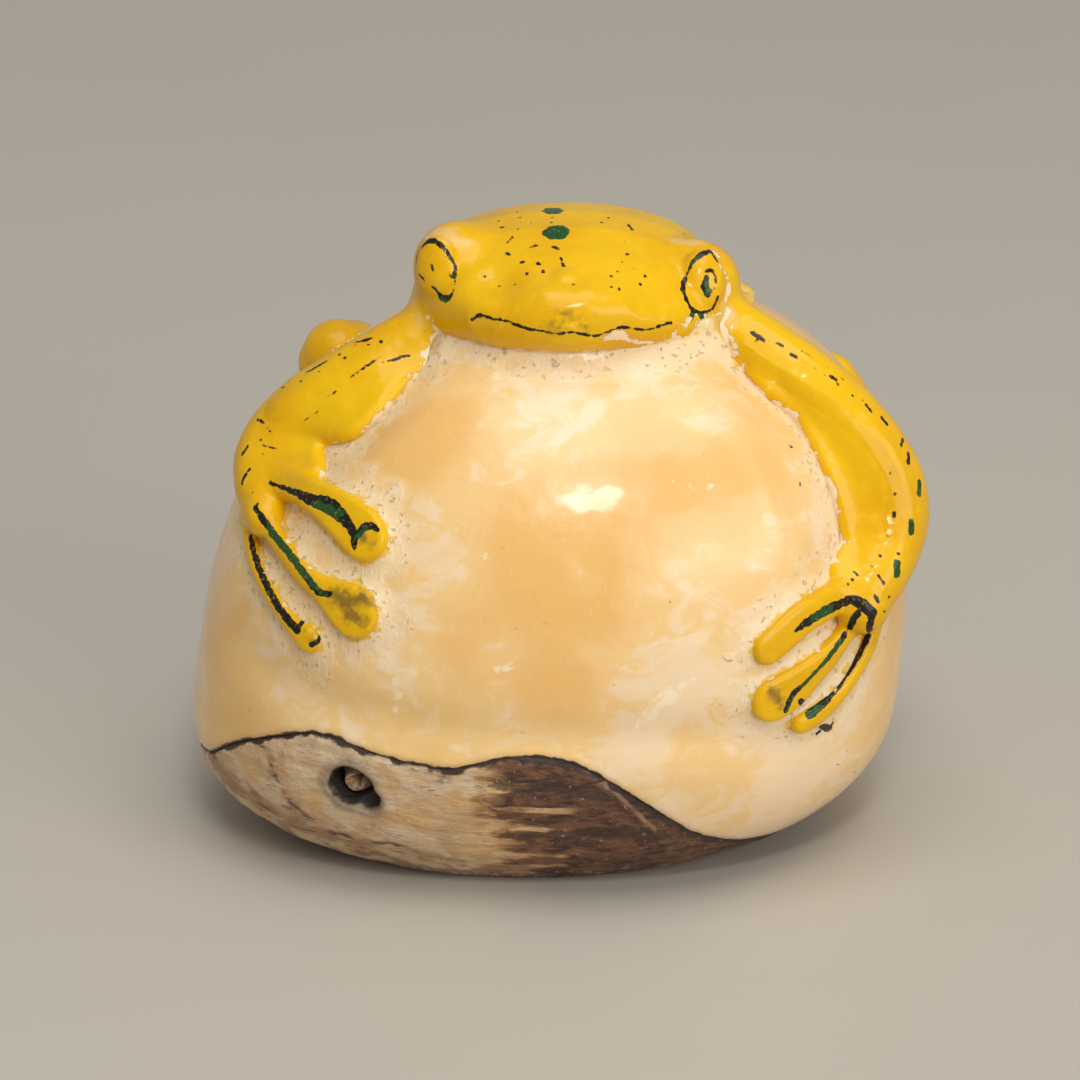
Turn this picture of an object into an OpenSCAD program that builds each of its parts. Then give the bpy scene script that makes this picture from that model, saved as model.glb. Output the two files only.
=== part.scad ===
// Frog carved in relief on a whole tagua nut (vegetable ivory), with part of the
// nut's brown seed coat left on as its base.
// Frame: +Z up, front towards -Y, origin in the middle of the box's bottom face.
// The frog faces the front, so its own left side is at +X.

/* [Nut] */
// Width of the nut at its widest level
nut_w = 44.5; // [38:0.5:52]
// Depth of the nut, front to back
nut_d = 37; // [32:0.5:44]
// Height of the nut without the frog
nut_h = 34.5; // [30:0.5:40]
// Straight sides that stand for one turn round the nut
nut_sides = 60; // [40:4:64]

/* [Seed coat] */
// Thickness of the brown skin
coat_t = 0.6; // [0.4:0.1:1]
// Height of the skin's edge, as a share of the carved one
coat_rise = 1; // [0.8:0.05:1.2]

/* [Germ pore] */
// Radius of the pore's mouth
pore_r = 1.5; // [1:0.1:1.8]
// Depth of the pore
pore_depth = 2.4; // [1.5:0.1:3]

/* [Frog] */
// Girth of the legs, as a share of the carved one
leg_girth = 1; // [0.85:0.05:1.15]
// Girth of the fingers and toes, as a share of the carved one
toe_girth = 1; // [0.85:0.05:1.15]
// Size of the head and trunk across, as a share of the carved one
body_girth = 1; // [0.9:0.02:1.1]
// Height that an eye stands out of its mound
eye_rise = 0.4; // [0.2:0.1:0.6]

/* [Hidden] */

ivory = "burlywood";
bark = "saddlebrown";
fibre = "tan";
yellow = "gold";
green = "darkolivegreen";

// Stations below are set out on a nut of this size and stretched with it.
design = [44.5, 37, 34.5];
stretch = [nut_w / design.x, nut_d / design.y, nut_h / design.z];

width_peak = 0.26 * nut_h;   // level of the greatest width
depth_peak = 0.435 * nut_h;  // level of the greatest depth
under_share = 1.16;          // how far below the base each lower curve would close
lower_power = 2.5;           // a squarer curve below the peak
width_power = 2.5;           // the same for the width above its peak
depth_power = 2.2;           // and a rounder one for the depth
plan_power = 2 / 2.3;        // a little squarer than an ellipse seen from above
lean_base = -1.9 * stretch.x;
lean_slope = 0.115 * stretch.x / stretch.z;
middle = [0.3, -0.55, 0];       // brings the middle of the whole box over the origin

coat_rows = 4;
nut_rows = 16;
round_fn = 18;
eye_fn = 24;

// Height of the seed coat's edge, by the angle round the nut from its front.
coat_edge = [
    [-180, 7.5], [-150, 7], [-120, 5.5], [-90, 5.2], [-70, 6.3], [-56, 8.8], [-45, 10.2],
    [-38, 11], [-32, 10.9], [-26, 10.2], [-18, 9.8], [-12, 9.5], [-6, 10.6], [0, 10.7],
    [6, 9.4], [13, 7.1], [24, 4.1], [36, 2.6], [50, 1.9], [110, 1.8], [140, 4], [165, 6.5],
    [180, 7.5]
];

pore_angle = -29;
pore_level = 7.8;
pore_dip = 14;      // the pore's axis points this far below level, in degrees
pore_mouth = 1.2;   // the cut starts this far outside the nut

// Share of the full size at level z: 1 at the peak, falling above and below it.
function swell(z, peak, upper_power) =
    z < peak
        ? pow(1 - pow((peak - z) / (peak * under_share), lower_power), 1 / lower_power)
        : pow(1 - pow((z - peak) / (nut_h - peak), upper_power), 1 / upper_power);
function squared(v) = sign(v) * pow(abs(v), plan_power);
function lean(z) = lean_base + lean_slope * z;

// A point on the nut at an angle from its front, at a level, lifted off the surface.
function on_nut(angle, z, lift = 0) = [
    lean(z) + (nut_w / 2 * swell(z, width_peak, width_power) + lift) * squared(sin(angle)),
    -(nut_d / 2 * swell(z, depth_peak, depth_power) + lift) * squared(cos(angle)),
    z
];
function ring_angle(j) = 360 * j / nut_sides - 180;
function edge_z(angle) = max(coat_t + 0.6, lookup(angle, coat_edge) * stretch.z * coat_rise);
function ring(share, low, lift) = [
    for (j = [0 : nut_sides - 1])
        let (a = ring_angle(j), top = edge_z(a))
            on_nut(a, low + (top - low) * share, lift)
];
function outer_ring(share) = [
    for (j = [0 : nut_sides - 1])
        let (a = ring_angle(j), low = edge_z(a))
            on_nut(a, low + (nut_h - low) * sin(90 * share), 0)
];

// The coat's outer and inner rings, and the bare nut's rings above the coat.
function coat_outer() = [for (k = [0 : coat_rows]) ring(k / coat_rows, 0, 0)];
function coat_inner() = [for (k = [0 : coat_rows]) ring(k / coat_rows, coat_t, -coat_t)];
function bare_nut() = [for (k = [0 : nut_rows - 1]) outer_ring(k / nut_rows)];
function reversed(list) = [for (k = [len(list) - 1 : -1 : 0]) list[k]];

// A closed solid from a stack of rings, between a first and a last point.
// Rings from number `turned` on are split along their other diagonal.
module ring_stack(first, rings, last, turned = 1000) {
    n = nut_sides;
    count = len(rings);
    points = concat([first], [for (r = rings) each r], [last]);
    top = count * n + 1;
    polyhedron(points, concat(
        [for (j = [0 : n - 1]) [0, 1 + j, 1 + (j + 1) % n]],
        [for (k = [0 : count - 2], j = [0 : n - 1])
            let (a = 1 + k * n + j, b = 1 + k * n + (j + 1) % n)
                each k < turned
                    ? [[a, a + n, b + n], [a, b + n, b]]
                    : [[a, a + n, b], [b, a + n, b + n]]],
        [for (j = [0 : n - 1])
            let (a = 1 + (count - 1) * n)
                [top, a + (j + 1) % n, a + j]]
    ));
}
module placed() {
    translate(middle)
        children();
}
module whole_nut() {
    ring_stack([lean(0), 0, 0], concat(coat_outer(), bare_nut()), [lean(nut_h), 0, nut_h]);
}
module pore_place() {
    translate(on_nut(pore_angle, pore_level * stretch.z))
        rotate([0, 0, pore_angle])
            rotate([90 + pore_dip, 0, 0])
                children();
}
module pore_cut() {
    pore_place()
        translate([0, 0, -pore_depth])
            cylinder(h = pore_depth + pore_mouth, r1 = 0.7 * pore_r, r2 = 1.1 * pore_r, $fn = 32);
}

// A chain of rounded links through stations [x, y, z, r], or [x, y, z, rx, ry, rz].
module bead(s, girth) {
    r = len(s) > 4 ? [s[3] * girth, s[4], s[5]] : [s[3], s[3], s[3]] * girth;
    translate([s.x * stretch.x, s.y * stretch.y, s.z * stretch.z])
        scale(r)
            sphere(1, $fn = round_fn);
}
module chain(stations, girth) {
    for (i = [0 : len(stations) - 2])
        hull() {
            bead(stations[i], girth);
            bead(stations[i + 1], girth);
        }
}

// Fingers and toes lie on the nut: stations are [angle, level, lift, r].
function laid(stations) = [
    for (s = stations)
        let (p = on_nut(s[0], s[1] * stretch.z, s[2]))
            [p.x / stretch.x, p.y / stretch.y, s[1], s[3]]
];

// A card held square to an eye in front of and above the carving, facing the
// aim point. A point on the card is carried along the line of sight to the nut.
card_pitch = 20;
card_aim = [-1.26, 0, 18.1];
card_reach = 400;
card_up = [0, sin(card_pitch), cos(card_pitch)];
card_eye = card_aim - card_reach * [0, cos(card_pitch), -sin(card_pitch)];

// Below 1 inside the nut, above 1 outside, for a point of the design layout.
function nut_level(p) =
    let (z = min(max(p.z * stretch.z, 0.05), nut_h - 0.01),
        across = abs(p.x * stretch.x - lean(z)) / (nut_w / 2 * swell(z, width_peak, width_power)),
        along = abs(p.y * stretch.y) / (nut_d / 2 * swell(z, depth_peak, depth_power)))
        pow(across, 2 / plan_power) + pow(along, 2 / plan_power);
function card_hit(ray, near, far, turns) =
    turns == 0 ? far :
    let (mid = (near + far) / 2)
        nut_level(card_eye + ray * mid) < 1
            ? card_hit(ray, near, mid, turns - 1)
            : card_hit(ray, mid, far, turns - 1);
function on_card(s, lift) =
    let (line = card_aim + [s[0], 0, 0] + s[1] * card_up - card_eye,
        ray = line / norm(line),
        spot = card_eye + ray * card_hit(ray, card_reach - 45, -card_eye.y / ray.y, 24),
        out = [for (e = [[0.05, 0, 0], [0, 0.05, 0], [0, 0, 0.05]])
            nut_level(spot + e) - nut_level(spot - e)],
        p = spot + out / norm(out) * lift)
        [p.x, p.y, p.z, s[2]];
function finger_on_nut(path) = [for (s = path) on_card(s, max(finger_rise - s[2], 0))];

module digits(root, paths) {
    for (path = paths)
        chain(concat([root], laid(path)), toe_girth);
}

head_stations = [
    [0.35, -9.3, 35.35, 3.2, 1.2, 1.2], [0.4, -8.2, 35.4, 5.9, 1.4, 2.2],
    [0.4, -6.2, 35.6, 7.3, 1.5, 3.1], [0.2, -3.5, 36, 8.4, 1.5, 3.7],
    [0.2, -1, 36.1, 8.9, 1.5, 3.9], [0.4, 1.5, 35.9, 8.7, 1.5, 3.9],
    [0.9, 4, 35.3, 8, 1.5, 3.7], [1.4, 6.5, 34.2, 7.1, 1.5, 3.4]
];
jaw_stations = [
    [-7.2, -1.5, 34.1, 2.1], [-5.9, -4.6, 34.7, 1.9], [-3.4, -6.8, 35.1, 1.6],
    [0.6, -8, 35.2, 1.5], [4.8, -7.1, 35, 1.6], [7.9, -4.8, 34.4, 1.9],
    [9.5, -1.5, 33.8, 2.1]
];
left_mound = [8.35, -2.9, 35.9, 2.8];
right_mound = [-6.4, -2.7, 37.2, 2.7];
mound_root = [0.6, -1, 35.8, 4];
left_turn = 8;      // each eye looks this far out from the front, in degrees
right_turn = 28;
left_tip = 24;      // and this far up
right_tip = 12;
eye_size = [1.35, 1.85, 1];

trunk_stations = [
    [1.5, 5, 34, 6.8, 1.8, 3.6], [1.5, 8, 33, 7.6, 1.8, 4],
    [1.5, 11, 31, 7.6, 1.8, 4.2], [1.5, 14, 28, 6.6, 1.8, 4],
    [1.5, 16.5, 25, 5.2, 1.6, 3.6], [1.5, 18, 22, 3.2, 1.4, 2.8],
    [1.5, 18.6, 20, 1.5, 1, 2]
];

left_arm = [
    [8.6, -2.2, 33.1, 2], [10.8, -3.9, 32.8, 2.1], [12.9, -4.9, 31.7, 2.1],
    [14.9, -5.8, 30.4, 2.2], [16.9, -6.4, 28.7, 2.3], [18.6, -6.9, 26.7, 2.4],
    [19.8, -7.4, 24.6, 2.45], [20.2, -8, 22.6, 2.4], [19.8, -9.4, 20.9, 2.15],
    [19, -10.8, 19.4, 1.9], [18.6, -11.6, 18.4, 1.6]
];
right_arm = [
    [-5.6, -2, 33.6, 2], [-7.6, -3, 33.1, 1.8], [-9.6, -3.4, 32.1, 1.8],
    [-11.7, -3.9, 30.9, 1.85], [-13.6, -4, 29.5, 2.05], [-15.4, -3.8, 28, 2.25],
    [-16.9, -3.7, 26.3, 2.35], [-17.8, -4.2, 24.8, 2.3], [-18.1, -6, 23.7, 1.85],
    [-18.3, -7.4, 23, 1.3]
];
left_wrist = [18.4, -12, 17.9, 1.3];
right_wrist = [-18.1, -8.4, 22.6, 1.15];

// The flat inner face of each arm and the fingers lie on the nut. They are set out
// as seen from the front, on the card below: [across, up, radius].
left_face = [
    [12.7, 12.4, 0.6], [14.7, 9.9, 0.5], [16.7, 8.4, 0.5], [17.9, 6.4, 0.5], [19.1, 3.7, 0.5],
    [19.8, 1.3, 0.5], [20, -0.3, 0.5], [19.2, -2, 0.6]
];
right_face = [
    [-6.9, 12.1, 0.6], [-8.9, 10.6, 0.5], [-10.4, 8.9, 0.5], [-11.9, 7.4, 0.5],
    [-12.9, 7, 0.5], [-14.4, 6.8, 0.5], [-14.6, 5.5, 0.5], [-14.5, 4.4, 0.6]
];
left_fingers = [
    [[19.2, -3.3, 1.05], [17.6, -4.2, 1.05], [16.4, -4.9, 1.1], [15.2, -6, 1.1],
        [14.3, -6.8, 1.05]],
    [[20, -4.7, 0.6], [19.1, -6, 0.65], [18.1, -7.2, 0.85], [16.9, -8.3, 1.1],
        [15.6, -9.4, 1.4], [14.6, -10, 1.45]],
    [[21.1, -4.7, 0.65], [20.6, -6.6, 0.55], [19.7, -8.3, 0.52], [18.6, -9.8, 0.6],
        [17.5, -10.8, 0.75], [16.4, -11.5, 0.7]]
];
right_fingers = [
    [[-16.9, 3.5, 0.95], [-15.2, 3.3, 1], [-13.9, 2.6, 1.1], [-12.6, 1.7, 1.35],
        [-11.4, 0.7, 1.55], [-10.9, 0.1, 1.5]],
    [[-17.6, 2.1, 0.6], [-16.9, 0.6, 0.62], [-15.9, -0.8, 0.65], [-14.8, -2.2, 0.7],
        [-13.5, -3.2, 0.9], [-12.4, -3.9, 1.35], [-11.6, -4.5, 1.65]],
    [[-18.3, 1.3, 0.55], [-18, -0.6, 0.52], [-17.4, -2.4, 0.5], [-16.4, -4.1, 0.52],
        [-15.4, -5.4, 0.65], [-14.5, -6.2, 0.9]]
];
finger_rise = 0.65;  // the fingers are cut flat at this height above the nut
face_sink = 0.15;    // depth of the inner faces' beads below the nut's surface

left_leg = [
    [5.5, 16.8, 23.4, 2.8], [9.5, 15.6, 23.6, 2.8], [13.6, 13, 24.4, 2.5], [17, 10, 25, 2.2],
    [18.3, 10.6, 21.5, 2.1], [18, 12, 18, 1.9], [15.6, 14.2, 15, 1.7]
];
right_leg = [
    [-3.4, 16.6, 23.6, 2.8], [-7, 15.3, 24, 2.8], [-10.8, 13, 24.9, 2.5], [-14.2, 9, 27.5, 2.2],
    [-14.9, 11.2, 24.2, 1.9], [-16.2, 11.8, 20.8, 1.8], [-15, 13.9, 17.6, 1.7]
];
left_heel = [16.3, 13.6, 13.4, 1.6];
right_heel = [-15.9, 13.3, 16, 1.6];
left_toes = [
    [[131, 14.6, 0.6, 1.1], [124, 15, 0.5, 1], [118, 15, 0.2, 1.3]],
    [[131, 12.6, 0.6, 1], [124, 11.5, 0.5, 1], [118, 10.7, 0.2, 1.4]],
    [[134, 11.4, 0.6, 1], [129, 9.4, 0.5, 0.9], [124, 7.8, 0.2, 1.3]]
];
right_toes = [
    [[-131, 17.2, 0.6, 1.1], [-124, 17.5, 0.5, 1], [-118, 17.4, 0.2, 1.3]],
    [[-131, 15, 0.6, 1], [-124, 13.9, 0.5, 1], [-118, 13, 0.2, 1.4]],
    [[-134, 13.8, 0.6, 1], [-129, 11.8, 0.5, 0.9], [-124, 10.2, 0.2, 1.3]]
];

module head_shape() {
    chain(head_stations, body_girth);
    chain(jaw_stations, 1);
    for (mound = [left_mound, right_mound])
        chain([mound_root, mound], body_girth);
}
module trunk_shape() {
    chain(trunk_stations, body_girth);
}
module eye_shape(mound, turn, tip) {
    bead([mound.x, mound.y, mound.z, 0.1], 1);
    translate([mound.x * stretch.x, mound.y * stretch.y, mound.z * stretch.z])
        rotate([0, 0, turn])
            rotate([90 - tip, 0, 0])
                translate([0, 0, mound[3] * body_girth + eye_rise - eye_size.z])
                    scale(eye_size)
                        sphere(1, $fn = eye_fn);
}
module arm_shape(arm, face) {
    inner = [for (s = face) on_card(s, -face_sink)];
    step = (len(arm) - 3) / (len(face) - 1);
    chain(arm, leg_girth);
    for (i = [0 : len(face) - 2])
        hull() {
            bead(inner[i], leg_girth);
            bead(inner[i + 1], leg_girth);
            bead(arm[round(1 + i * step)], leg_girth);
            bead(arm[round(1 + (i + 1) * step)], leg_girth);
        }
}
module raised_nut(rise) {
    rings = [for (k = [0 : nut_rows - 1])
        [for (p = outer_ring(k / nut_rows))
            let (flat = [p.x - lean(p.z), p.y])
                [p.x + flat.x / norm(flat) * rise, p.y + flat.y / norm(flat) * rise, p.z]]];
    ring_stack([lean(0), 0, 0.5], rings, [lean(nut_h), 0, nut_h + rise]);
}
module hand_shape(wrist, fingers) {
    intersection() {
        for (path = fingers)
            chain(finger_on_nut(path), toe_girth);
        raised_nut(finger_rise);
    }
    for (path = fingers)
        chain([wrist, finger_on_nut(path)[0]], toe_girth);
}

module nut_body() {
    color(ivory)
        placed() difference() {
            ring_stack(
                [lean(0), 0, coat_t],
                concat(coat_inner(), bare_nut()),
                [lean(nut_h), 0, nut_h]
            );
            pore_cut();
        }
}
module seed_coat() {
    color(bark)
        placed() difference() {
            ring_stack(
                [lean(0), 0, 0],
                concat(coat_outer(), reversed(coat_inner())),
                [lean(0), 0, coat_t],
                coat_rows + 1
            );
            pore_cut();
        }
}
module germ_plug() {
    plug_r = 0.62 * pore_r;
    color(fibre)
        placed() pore_place()
            translate([0, 0, -pore_depth])
                hull() {
                    cylinder(h = 0.2, r = plug_r, $fn = 24);
                    translate([0.1, 0.1, 0.9])
                        sphere(0.6 * plug_r, $fn = 16);
                }
}
module frog_head() {
    color(yellow)
        placed() difference() {
            head_shape();
            whole_nut();
        }
}
module eye(mound, turn, tip) {
    color(green)
        placed() difference() {
            eye_shape(mound, turn, tip);
            head_shape();
        }
}
module left_eye() {
    eye(left_mound, left_turn, left_tip);
}
module right_eye() {
    eye(right_mound, -right_turn, right_tip);
}
module frog_trunk() {
    color(yellow)
        placed() difference() {
            trunk_shape();
            whole_nut();
            head_shape();
        }
}
module foreleg(arm, face) {
    color(yellow)
        placed() difference() {
            arm_shape(arm, face);
            whole_nut();
            head_shape();
            trunk_shape();
        }
}
module left_foreleg() {
    foreleg(left_arm, left_face);
}
module right_foreleg() {
    foreleg(right_arm, right_face);
}
module hand(arm, face, wrist, fingers) {
    color(yellow)
        placed() difference() {
            hand_shape(wrist, fingers);
            whole_nut();
            arm_shape(arm, face);
        }
}
module left_hand() {
    hand(left_arm, left_face, left_wrist, left_fingers);
}
module right_hand() {
    hand(right_arm, right_face, right_wrist, right_fingers);
}
module hind_leg(leg) {
    color(yellow)
        placed() difference() {
            chain(leg, leg_girth);
            whole_nut();
            trunk_shape();
        }
}
module left_hind_leg() {
    hind_leg(left_leg);
}
module right_hind_leg() {
    hind_leg(right_leg);
}
module foot(leg, heel, toes) {
    color(yellow)
        placed() difference() {
            digits(heel, toes);
            whole_nut();
            chain(leg, leg_girth);
        }
}
module left_foot() {
    foot(left_leg, left_heel, left_toes);
}
module right_foot() {
    foot(right_leg, right_heel, right_toes);
}

nut_body();
seed_coat();
germ_plug();
frog_head();
left_eye();
right_eye();
frog_trunk();
left_foreleg();
right_foreleg();
left_hand();
right_hand();
left_hind_leg();
right_hind_leg();
left_foot();
right_foot();
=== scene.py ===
from math import cos, pi, radians, sin

import bpy
import numpy as np
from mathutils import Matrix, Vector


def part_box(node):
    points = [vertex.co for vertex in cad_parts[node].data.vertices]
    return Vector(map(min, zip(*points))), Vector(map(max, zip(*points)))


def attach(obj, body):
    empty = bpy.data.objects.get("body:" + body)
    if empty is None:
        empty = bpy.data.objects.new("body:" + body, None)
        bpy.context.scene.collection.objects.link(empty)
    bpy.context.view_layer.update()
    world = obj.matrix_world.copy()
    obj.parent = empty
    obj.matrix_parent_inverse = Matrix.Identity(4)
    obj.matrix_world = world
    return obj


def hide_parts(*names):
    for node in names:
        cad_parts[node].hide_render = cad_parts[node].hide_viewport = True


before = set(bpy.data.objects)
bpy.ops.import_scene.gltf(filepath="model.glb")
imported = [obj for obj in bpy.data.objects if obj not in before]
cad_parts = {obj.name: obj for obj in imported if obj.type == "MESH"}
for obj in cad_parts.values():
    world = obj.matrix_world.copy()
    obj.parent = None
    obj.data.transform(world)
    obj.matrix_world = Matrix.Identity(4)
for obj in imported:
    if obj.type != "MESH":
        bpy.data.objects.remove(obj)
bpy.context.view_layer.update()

import openvdb
from mathutils import Matrix, Vector
from mathutils.bvhtree import BVHTree

# Shapes are set out in millimetres in the same layout as the CAD model, then
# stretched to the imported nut's box and turned into metres.
NUT_BOX = np.array([[-22.902, -19.049, 0.6], [22.117, 17.949, 34.5]])
MIDDLE = np.array([0.3, -0.55, 0.0])
packed = np.array([list(corner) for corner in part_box("nut_body")]) * 1000
STRETCH = (packed[1] - packed[0]) / (NUT_BOX[1] - NUT_BOX[0])
SHIFT = packed[0] - NUT_BOX[0] * STRETCH


def to_metres(points):
    return ((np.asarray(points, float) + MIDDLE) * STRETCH + SHIFT) / 1000


# ---------------------------------------------------------------- noise

def lattice(cell, seed):
    """A repeatable random number from 0 to 1 for each whole-number cell."""
    n = cell[..., 0] * 73856093 ^ cell[..., 1] * 19349663 ^ cell[..., 2] * 83492791 ^ seed * 2654435
    n = (n ^ (n >> 13)) * 1274126177
    n = (n ^ (n >> 16)) & 0xFFFFFF
    return n / float(0xFFFFFF)


def noise(points, size, seed=0):
    """Smooth noise from -1 to 1, with features about `size` millimetres across."""
    p = np.asarray(points, float) / size
    cell = np.floor(p).astype(np.int64)
    f = p - cell
    f = f * f * (3 - 2 * f)
    total = 0
    for corner in np.ndindex(2, 2, 2):
        c = np.array(corner)
        weight = np.prod(np.where(c, f, 1 - f), axis=-1)
        total = total + weight * lattice(cell + c, seed)
    return total * 2 - 1


def rough(points, size, seed=0, octaves=3):
    """Noise in layers, each half the size and strength of the one before."""
    total = 0
    for k in range(octaves):
        total = total + noise(points, size / 2 ** k, seed + k) / 2 ** k
    return total / 1.6


def step(low, high, value):
    """A smooth step from 0 at low to 1 at high. Low may be the larger of the two."""
    t = np.clip((value - low) / (high - low), 0, 1)
    return t * t * (3 - 2 * t)


# ---------------------------------------------------------------- the nut

NUT = np.array([44.5, 37.0, 34.5])
# The nut's outline from above is a squarish oval: 2 would be a true ellipse.
SQUARENESS = 2.3
COAT_T = 0.6
# The coat's upper edge: angle from the front in degrees, height.
COAT_EDGE = [
    (-180, 7.5), (-150, 7), (-120, 5.5), (-90, 5.2), (-70, 6.3), (-56, 8.8), (-45, 10.2),
    (-38, 11), (-32, 10.9), (-26, 10.2), (-18, 9.8), (-12, 9.5), (-6, 10.6), (0, 10.7),
    (6, 9.4), (13, 7.1), (24, 4.1), (36, 2.6), (50, 1.9), (110, 1.8), (140, 4), (165, 6.5),
    (180, 7.5),
]
# The germ pore's angle and height.
PORE = (-29, 7.8)


def swell(z, peak, power):
    """The nut's width at each height, as a share of its widest, which is at the peak."""
    z = np.clip(z, 0, NUT[2] - 1e-5)
    below = (1 - (np.maximum(peak - z, 0) / (peak * 1.16)) ** 2.5) ** 0.4
    above = (1 - (np.maximum(z - peak, 0) / (NUT[2] - peak)) ** power) ** (1 / power)
    return np.where(z < peak, below, above)


def half_width(z):
    return NUT[0] / 2 * swell(z, 0.26 * NUT[2], 2.5)


def half_depth(z):
    return NUT[1] / 2 * swell(z, 0.435 * NUT[2], 2.2)


def lean(z):
    """How far right the nut's middle is at each height."""
    return -1.9 + 0.115 * z


def squared(v):
    return np.sign(v) * np.abs(v) ** (2 / SQUARENESS)


def on_nut(angle, z, lift=0.0):
    """Points on the nut, by the angle in degrees from its front, and the level."""
    a = np.radians(angle)
    z = np.asarray(z, float) + 0 * a
    x = lean(z) + (half_width(z) + lift) * squared(np.sin(a))
    y = -(half_depth(z) + lift) * squared(np.cos(a))
    return np.stack([x, y, z], -1)


def edge_level(angle):
    """Height of the seed coat's edge, smoothed so that it has no corners."""
    angles, levels = np.array(COAT_EDGE).T
    spread = [np.interp((angle + d + 180) % 360 - 180, angles, levels) for d in (-2.5, 0, 2.5)]
    return sum(spread) / 3


def normals_of(grid):
    """Unit outward normals of a grid of points, closed along its second axis."""
    across = np.roll(grid, -1, 1) - np.roll(grid, 1, 1)
    along = np.gradient(grid, axis=0)
    n = np.cross(across, along)
    return n / np.maximum(np.linalg.norm(n, axis=-1, keepdims=True), 1e-9)


# ---------------------------------------------------------------- the frog's shape

def spline(stations, steps=3):
    """The stations with more between them, on a smooth curve."""
    s = np.array(stations, float)
    padded = np.vstack([2 * s[0] - s[1], s, 2 * s[-1] - s[-2]])
    out = []
    for i in range(1, len(padded) - 2):
        a, b, c, d = padded[i - 1:i + 3]
        for t in np.arange(steps) / steps:
            out.append(0.5 * (2 * b + (c - a) * t + (2 * a - 5 * b + 4 * c - d) * t ** 2
                              + (3 * b - a - 3 * c + d) * t ** 3))
    return np.array(out + [s[-1]])


def link_distance(p, a, b):
    """Distance from points to the rounded link between stations [x, y, z, r]."""
    ab = (b - a)[:3].astype(np.float32)
    ap = p - a[:3].astype(np.float32)
    t = np.clip(ap @ ab / max(float(ab @ ab), 1e-9), 0, 1)
    d = np.linalg.norm(ap - t[:, None] * ab, axis=1)
    return d - (a[3] + (b[3] - a[3]) * t)


def chain(stations, steps=3):
    """A shape of rounded links through the stations: its distance function and box."""
    s = spline(stations, steps) if steps > 1 else np.array(stations, float)

    def distance(p):
        d = link_distance(p, s[0], s[1])
        for a, b in zip(s[1:-1], s[2:]):
            d = np.minimum(d, link_distance(p, a, b))
        return d
    low = (s[:, :3] - s[:, 3:]).min(0)
    high = (s[:, :3] + s[:, 3:]).max(0)
    return distance, low, high


def soft_min(a, b, k):
    """The smaller of two distances, blended where they differ by less than k."""
    h = np.maximum(k - np.abs(a - b), 0) / k
    return np.minimum(a, b) - h * h * k / 4


def soft_max(a, b, k):
    return -soft_min(-a, -b, k)


def egg(centre, size, turn=0.0, tip=0.0):
    """An ellipsoid, turned about the vertical and tipped up."""
    a, t = radians(turn), radians(tip)
    across = np.array([cos(a), sin(a), 0])
    out = np.array([sin(a) * cos(t), -cos(a) * cos(t), sin(t)])
    axes = np.array([across, np.cross(out, across), out], np.float32)
    size = np.array(size, np.float32)
    centre = np.array(centre, float)

    def distance(p):
        q = (p - centre.astype(np.float32)) @ axes.T
        near = np.linalg.norm(q / size, axis=1)
        slope = np.linalg.norm(q / size ** 2, axis=1)
        return near * (near - 1) / np.maximum(slope, 1e-6)
    reach = float(max(size))
    return distance, centre - reach, centre + reach


# The eye point and the card: marks are drawn on a card held square to the eye
# at the look-at point, then cast onto the carving, x right and h up in mm. The
# card is as wide as the picture.
CARD_WIDTH = 68.04
PITCH = radians(20)
AIM = np.array([-1.26, 0, 18.1])
AHEAD = np.array([0, cos(PITCH), -sin(PITCH)])
UP = np.array([0, sin(PITCH), cos(PITCH)])
DISTANCE = 400.0
EYE = AIM - AHEAD * DISTANCE


def outline_level(p, z):
    """Below 1 inside the nut's outline at height z, above 1 outside it."""
    across = (np.abs(p[..., 0] - lean(z)) / half_width(z)) ** SQUARENESS
    return across + (np.abs(p[..., 1]) / half_depth(z)) ** SQUARENESS


def nut_level(p):
    return outline_level(p, np.clip(p[..., 2], 0.05, NUT[2] - 0.01))


def on_card(x, h, lift=0.0):
    """Where a line from the eye through the card first meets the nut."""
    ray = AIM + np.array([x, 0, 0]) + UP * h - EYE
    ray = ray / np.linalg.norm(ray)
    near, far = DISTANCE - 45, -EYE[1] / ray[1]
    for _ in range(24):
        middle = (near + far) / 2
        if nut_level(EYE + ray * middle) < 1:
            far = middle
        else:
            near = middle
    spot = EYE + ray * far
    steps = np.eye(3) * 0.05
    out = np.array([nut_level(spot + e) - nut_level(spot - e) for e in steps])
    return spot + out / np.linalg.norm(out) * lift


# Sections of the head: y, centre x, centre z, half width, half height.
HEAD = np.array([
    [-10.3, 0.3, 35.3, 0.3, 0.2], [-9.9, 0.3, 35.3, 2.4, 0.9], [-9.2, 0.35, 35.4, 4.3, 1.6],
    [-8.2, 0.4, 35.5, 6.0, 2.3], [-6.2, 0.4, 35.7, 7.5, 3.1], [-3.5, 0.2, 36.0, 8.6, 3.8],
    [-1, 0.2, 36.1, 9.0, 3.95], [1.5, 0.4, 35.9, 8.8, 3.95], [4, 0.9, 35.3, 8.1, 3.7],
    [6.5, 1.4, 34.2, 7.1, 3.4], [8.5, 1.6, 33.2, 4.8, 2.4], [9.3, 1.6, 33, 0.5, 0.4],
])


def head_distance(p):
    """Distance to the skull, a loft through the sections in HEAD."""
    y = p[:, 1]
    cx, cz, w, h = (np.interp(y, HEAD[:, 0], HEAD[:, k]) for k in (1, 2, 3, 4))
    dx = np.abs(p[:, 0] - cx) / w
    dz = np.abs(p[:, 2] - cz) / h
    n = 2.1
    r = np.maximum((dx ** n + dz ** n) ** (1 / n), 1e-6)
    slope = np.sqrt((dx / r) ** 2 / w ** 2 + (dz / r) ** 2 / h ** 2)
    side = (r - 1) / np.maximum(slope, 1e-6)
    ends = np.maximum(HEAD[0, 0] - y, y - HEAD[-1, 0])
    return np.maximum(side * 0.8, ends)


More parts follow.
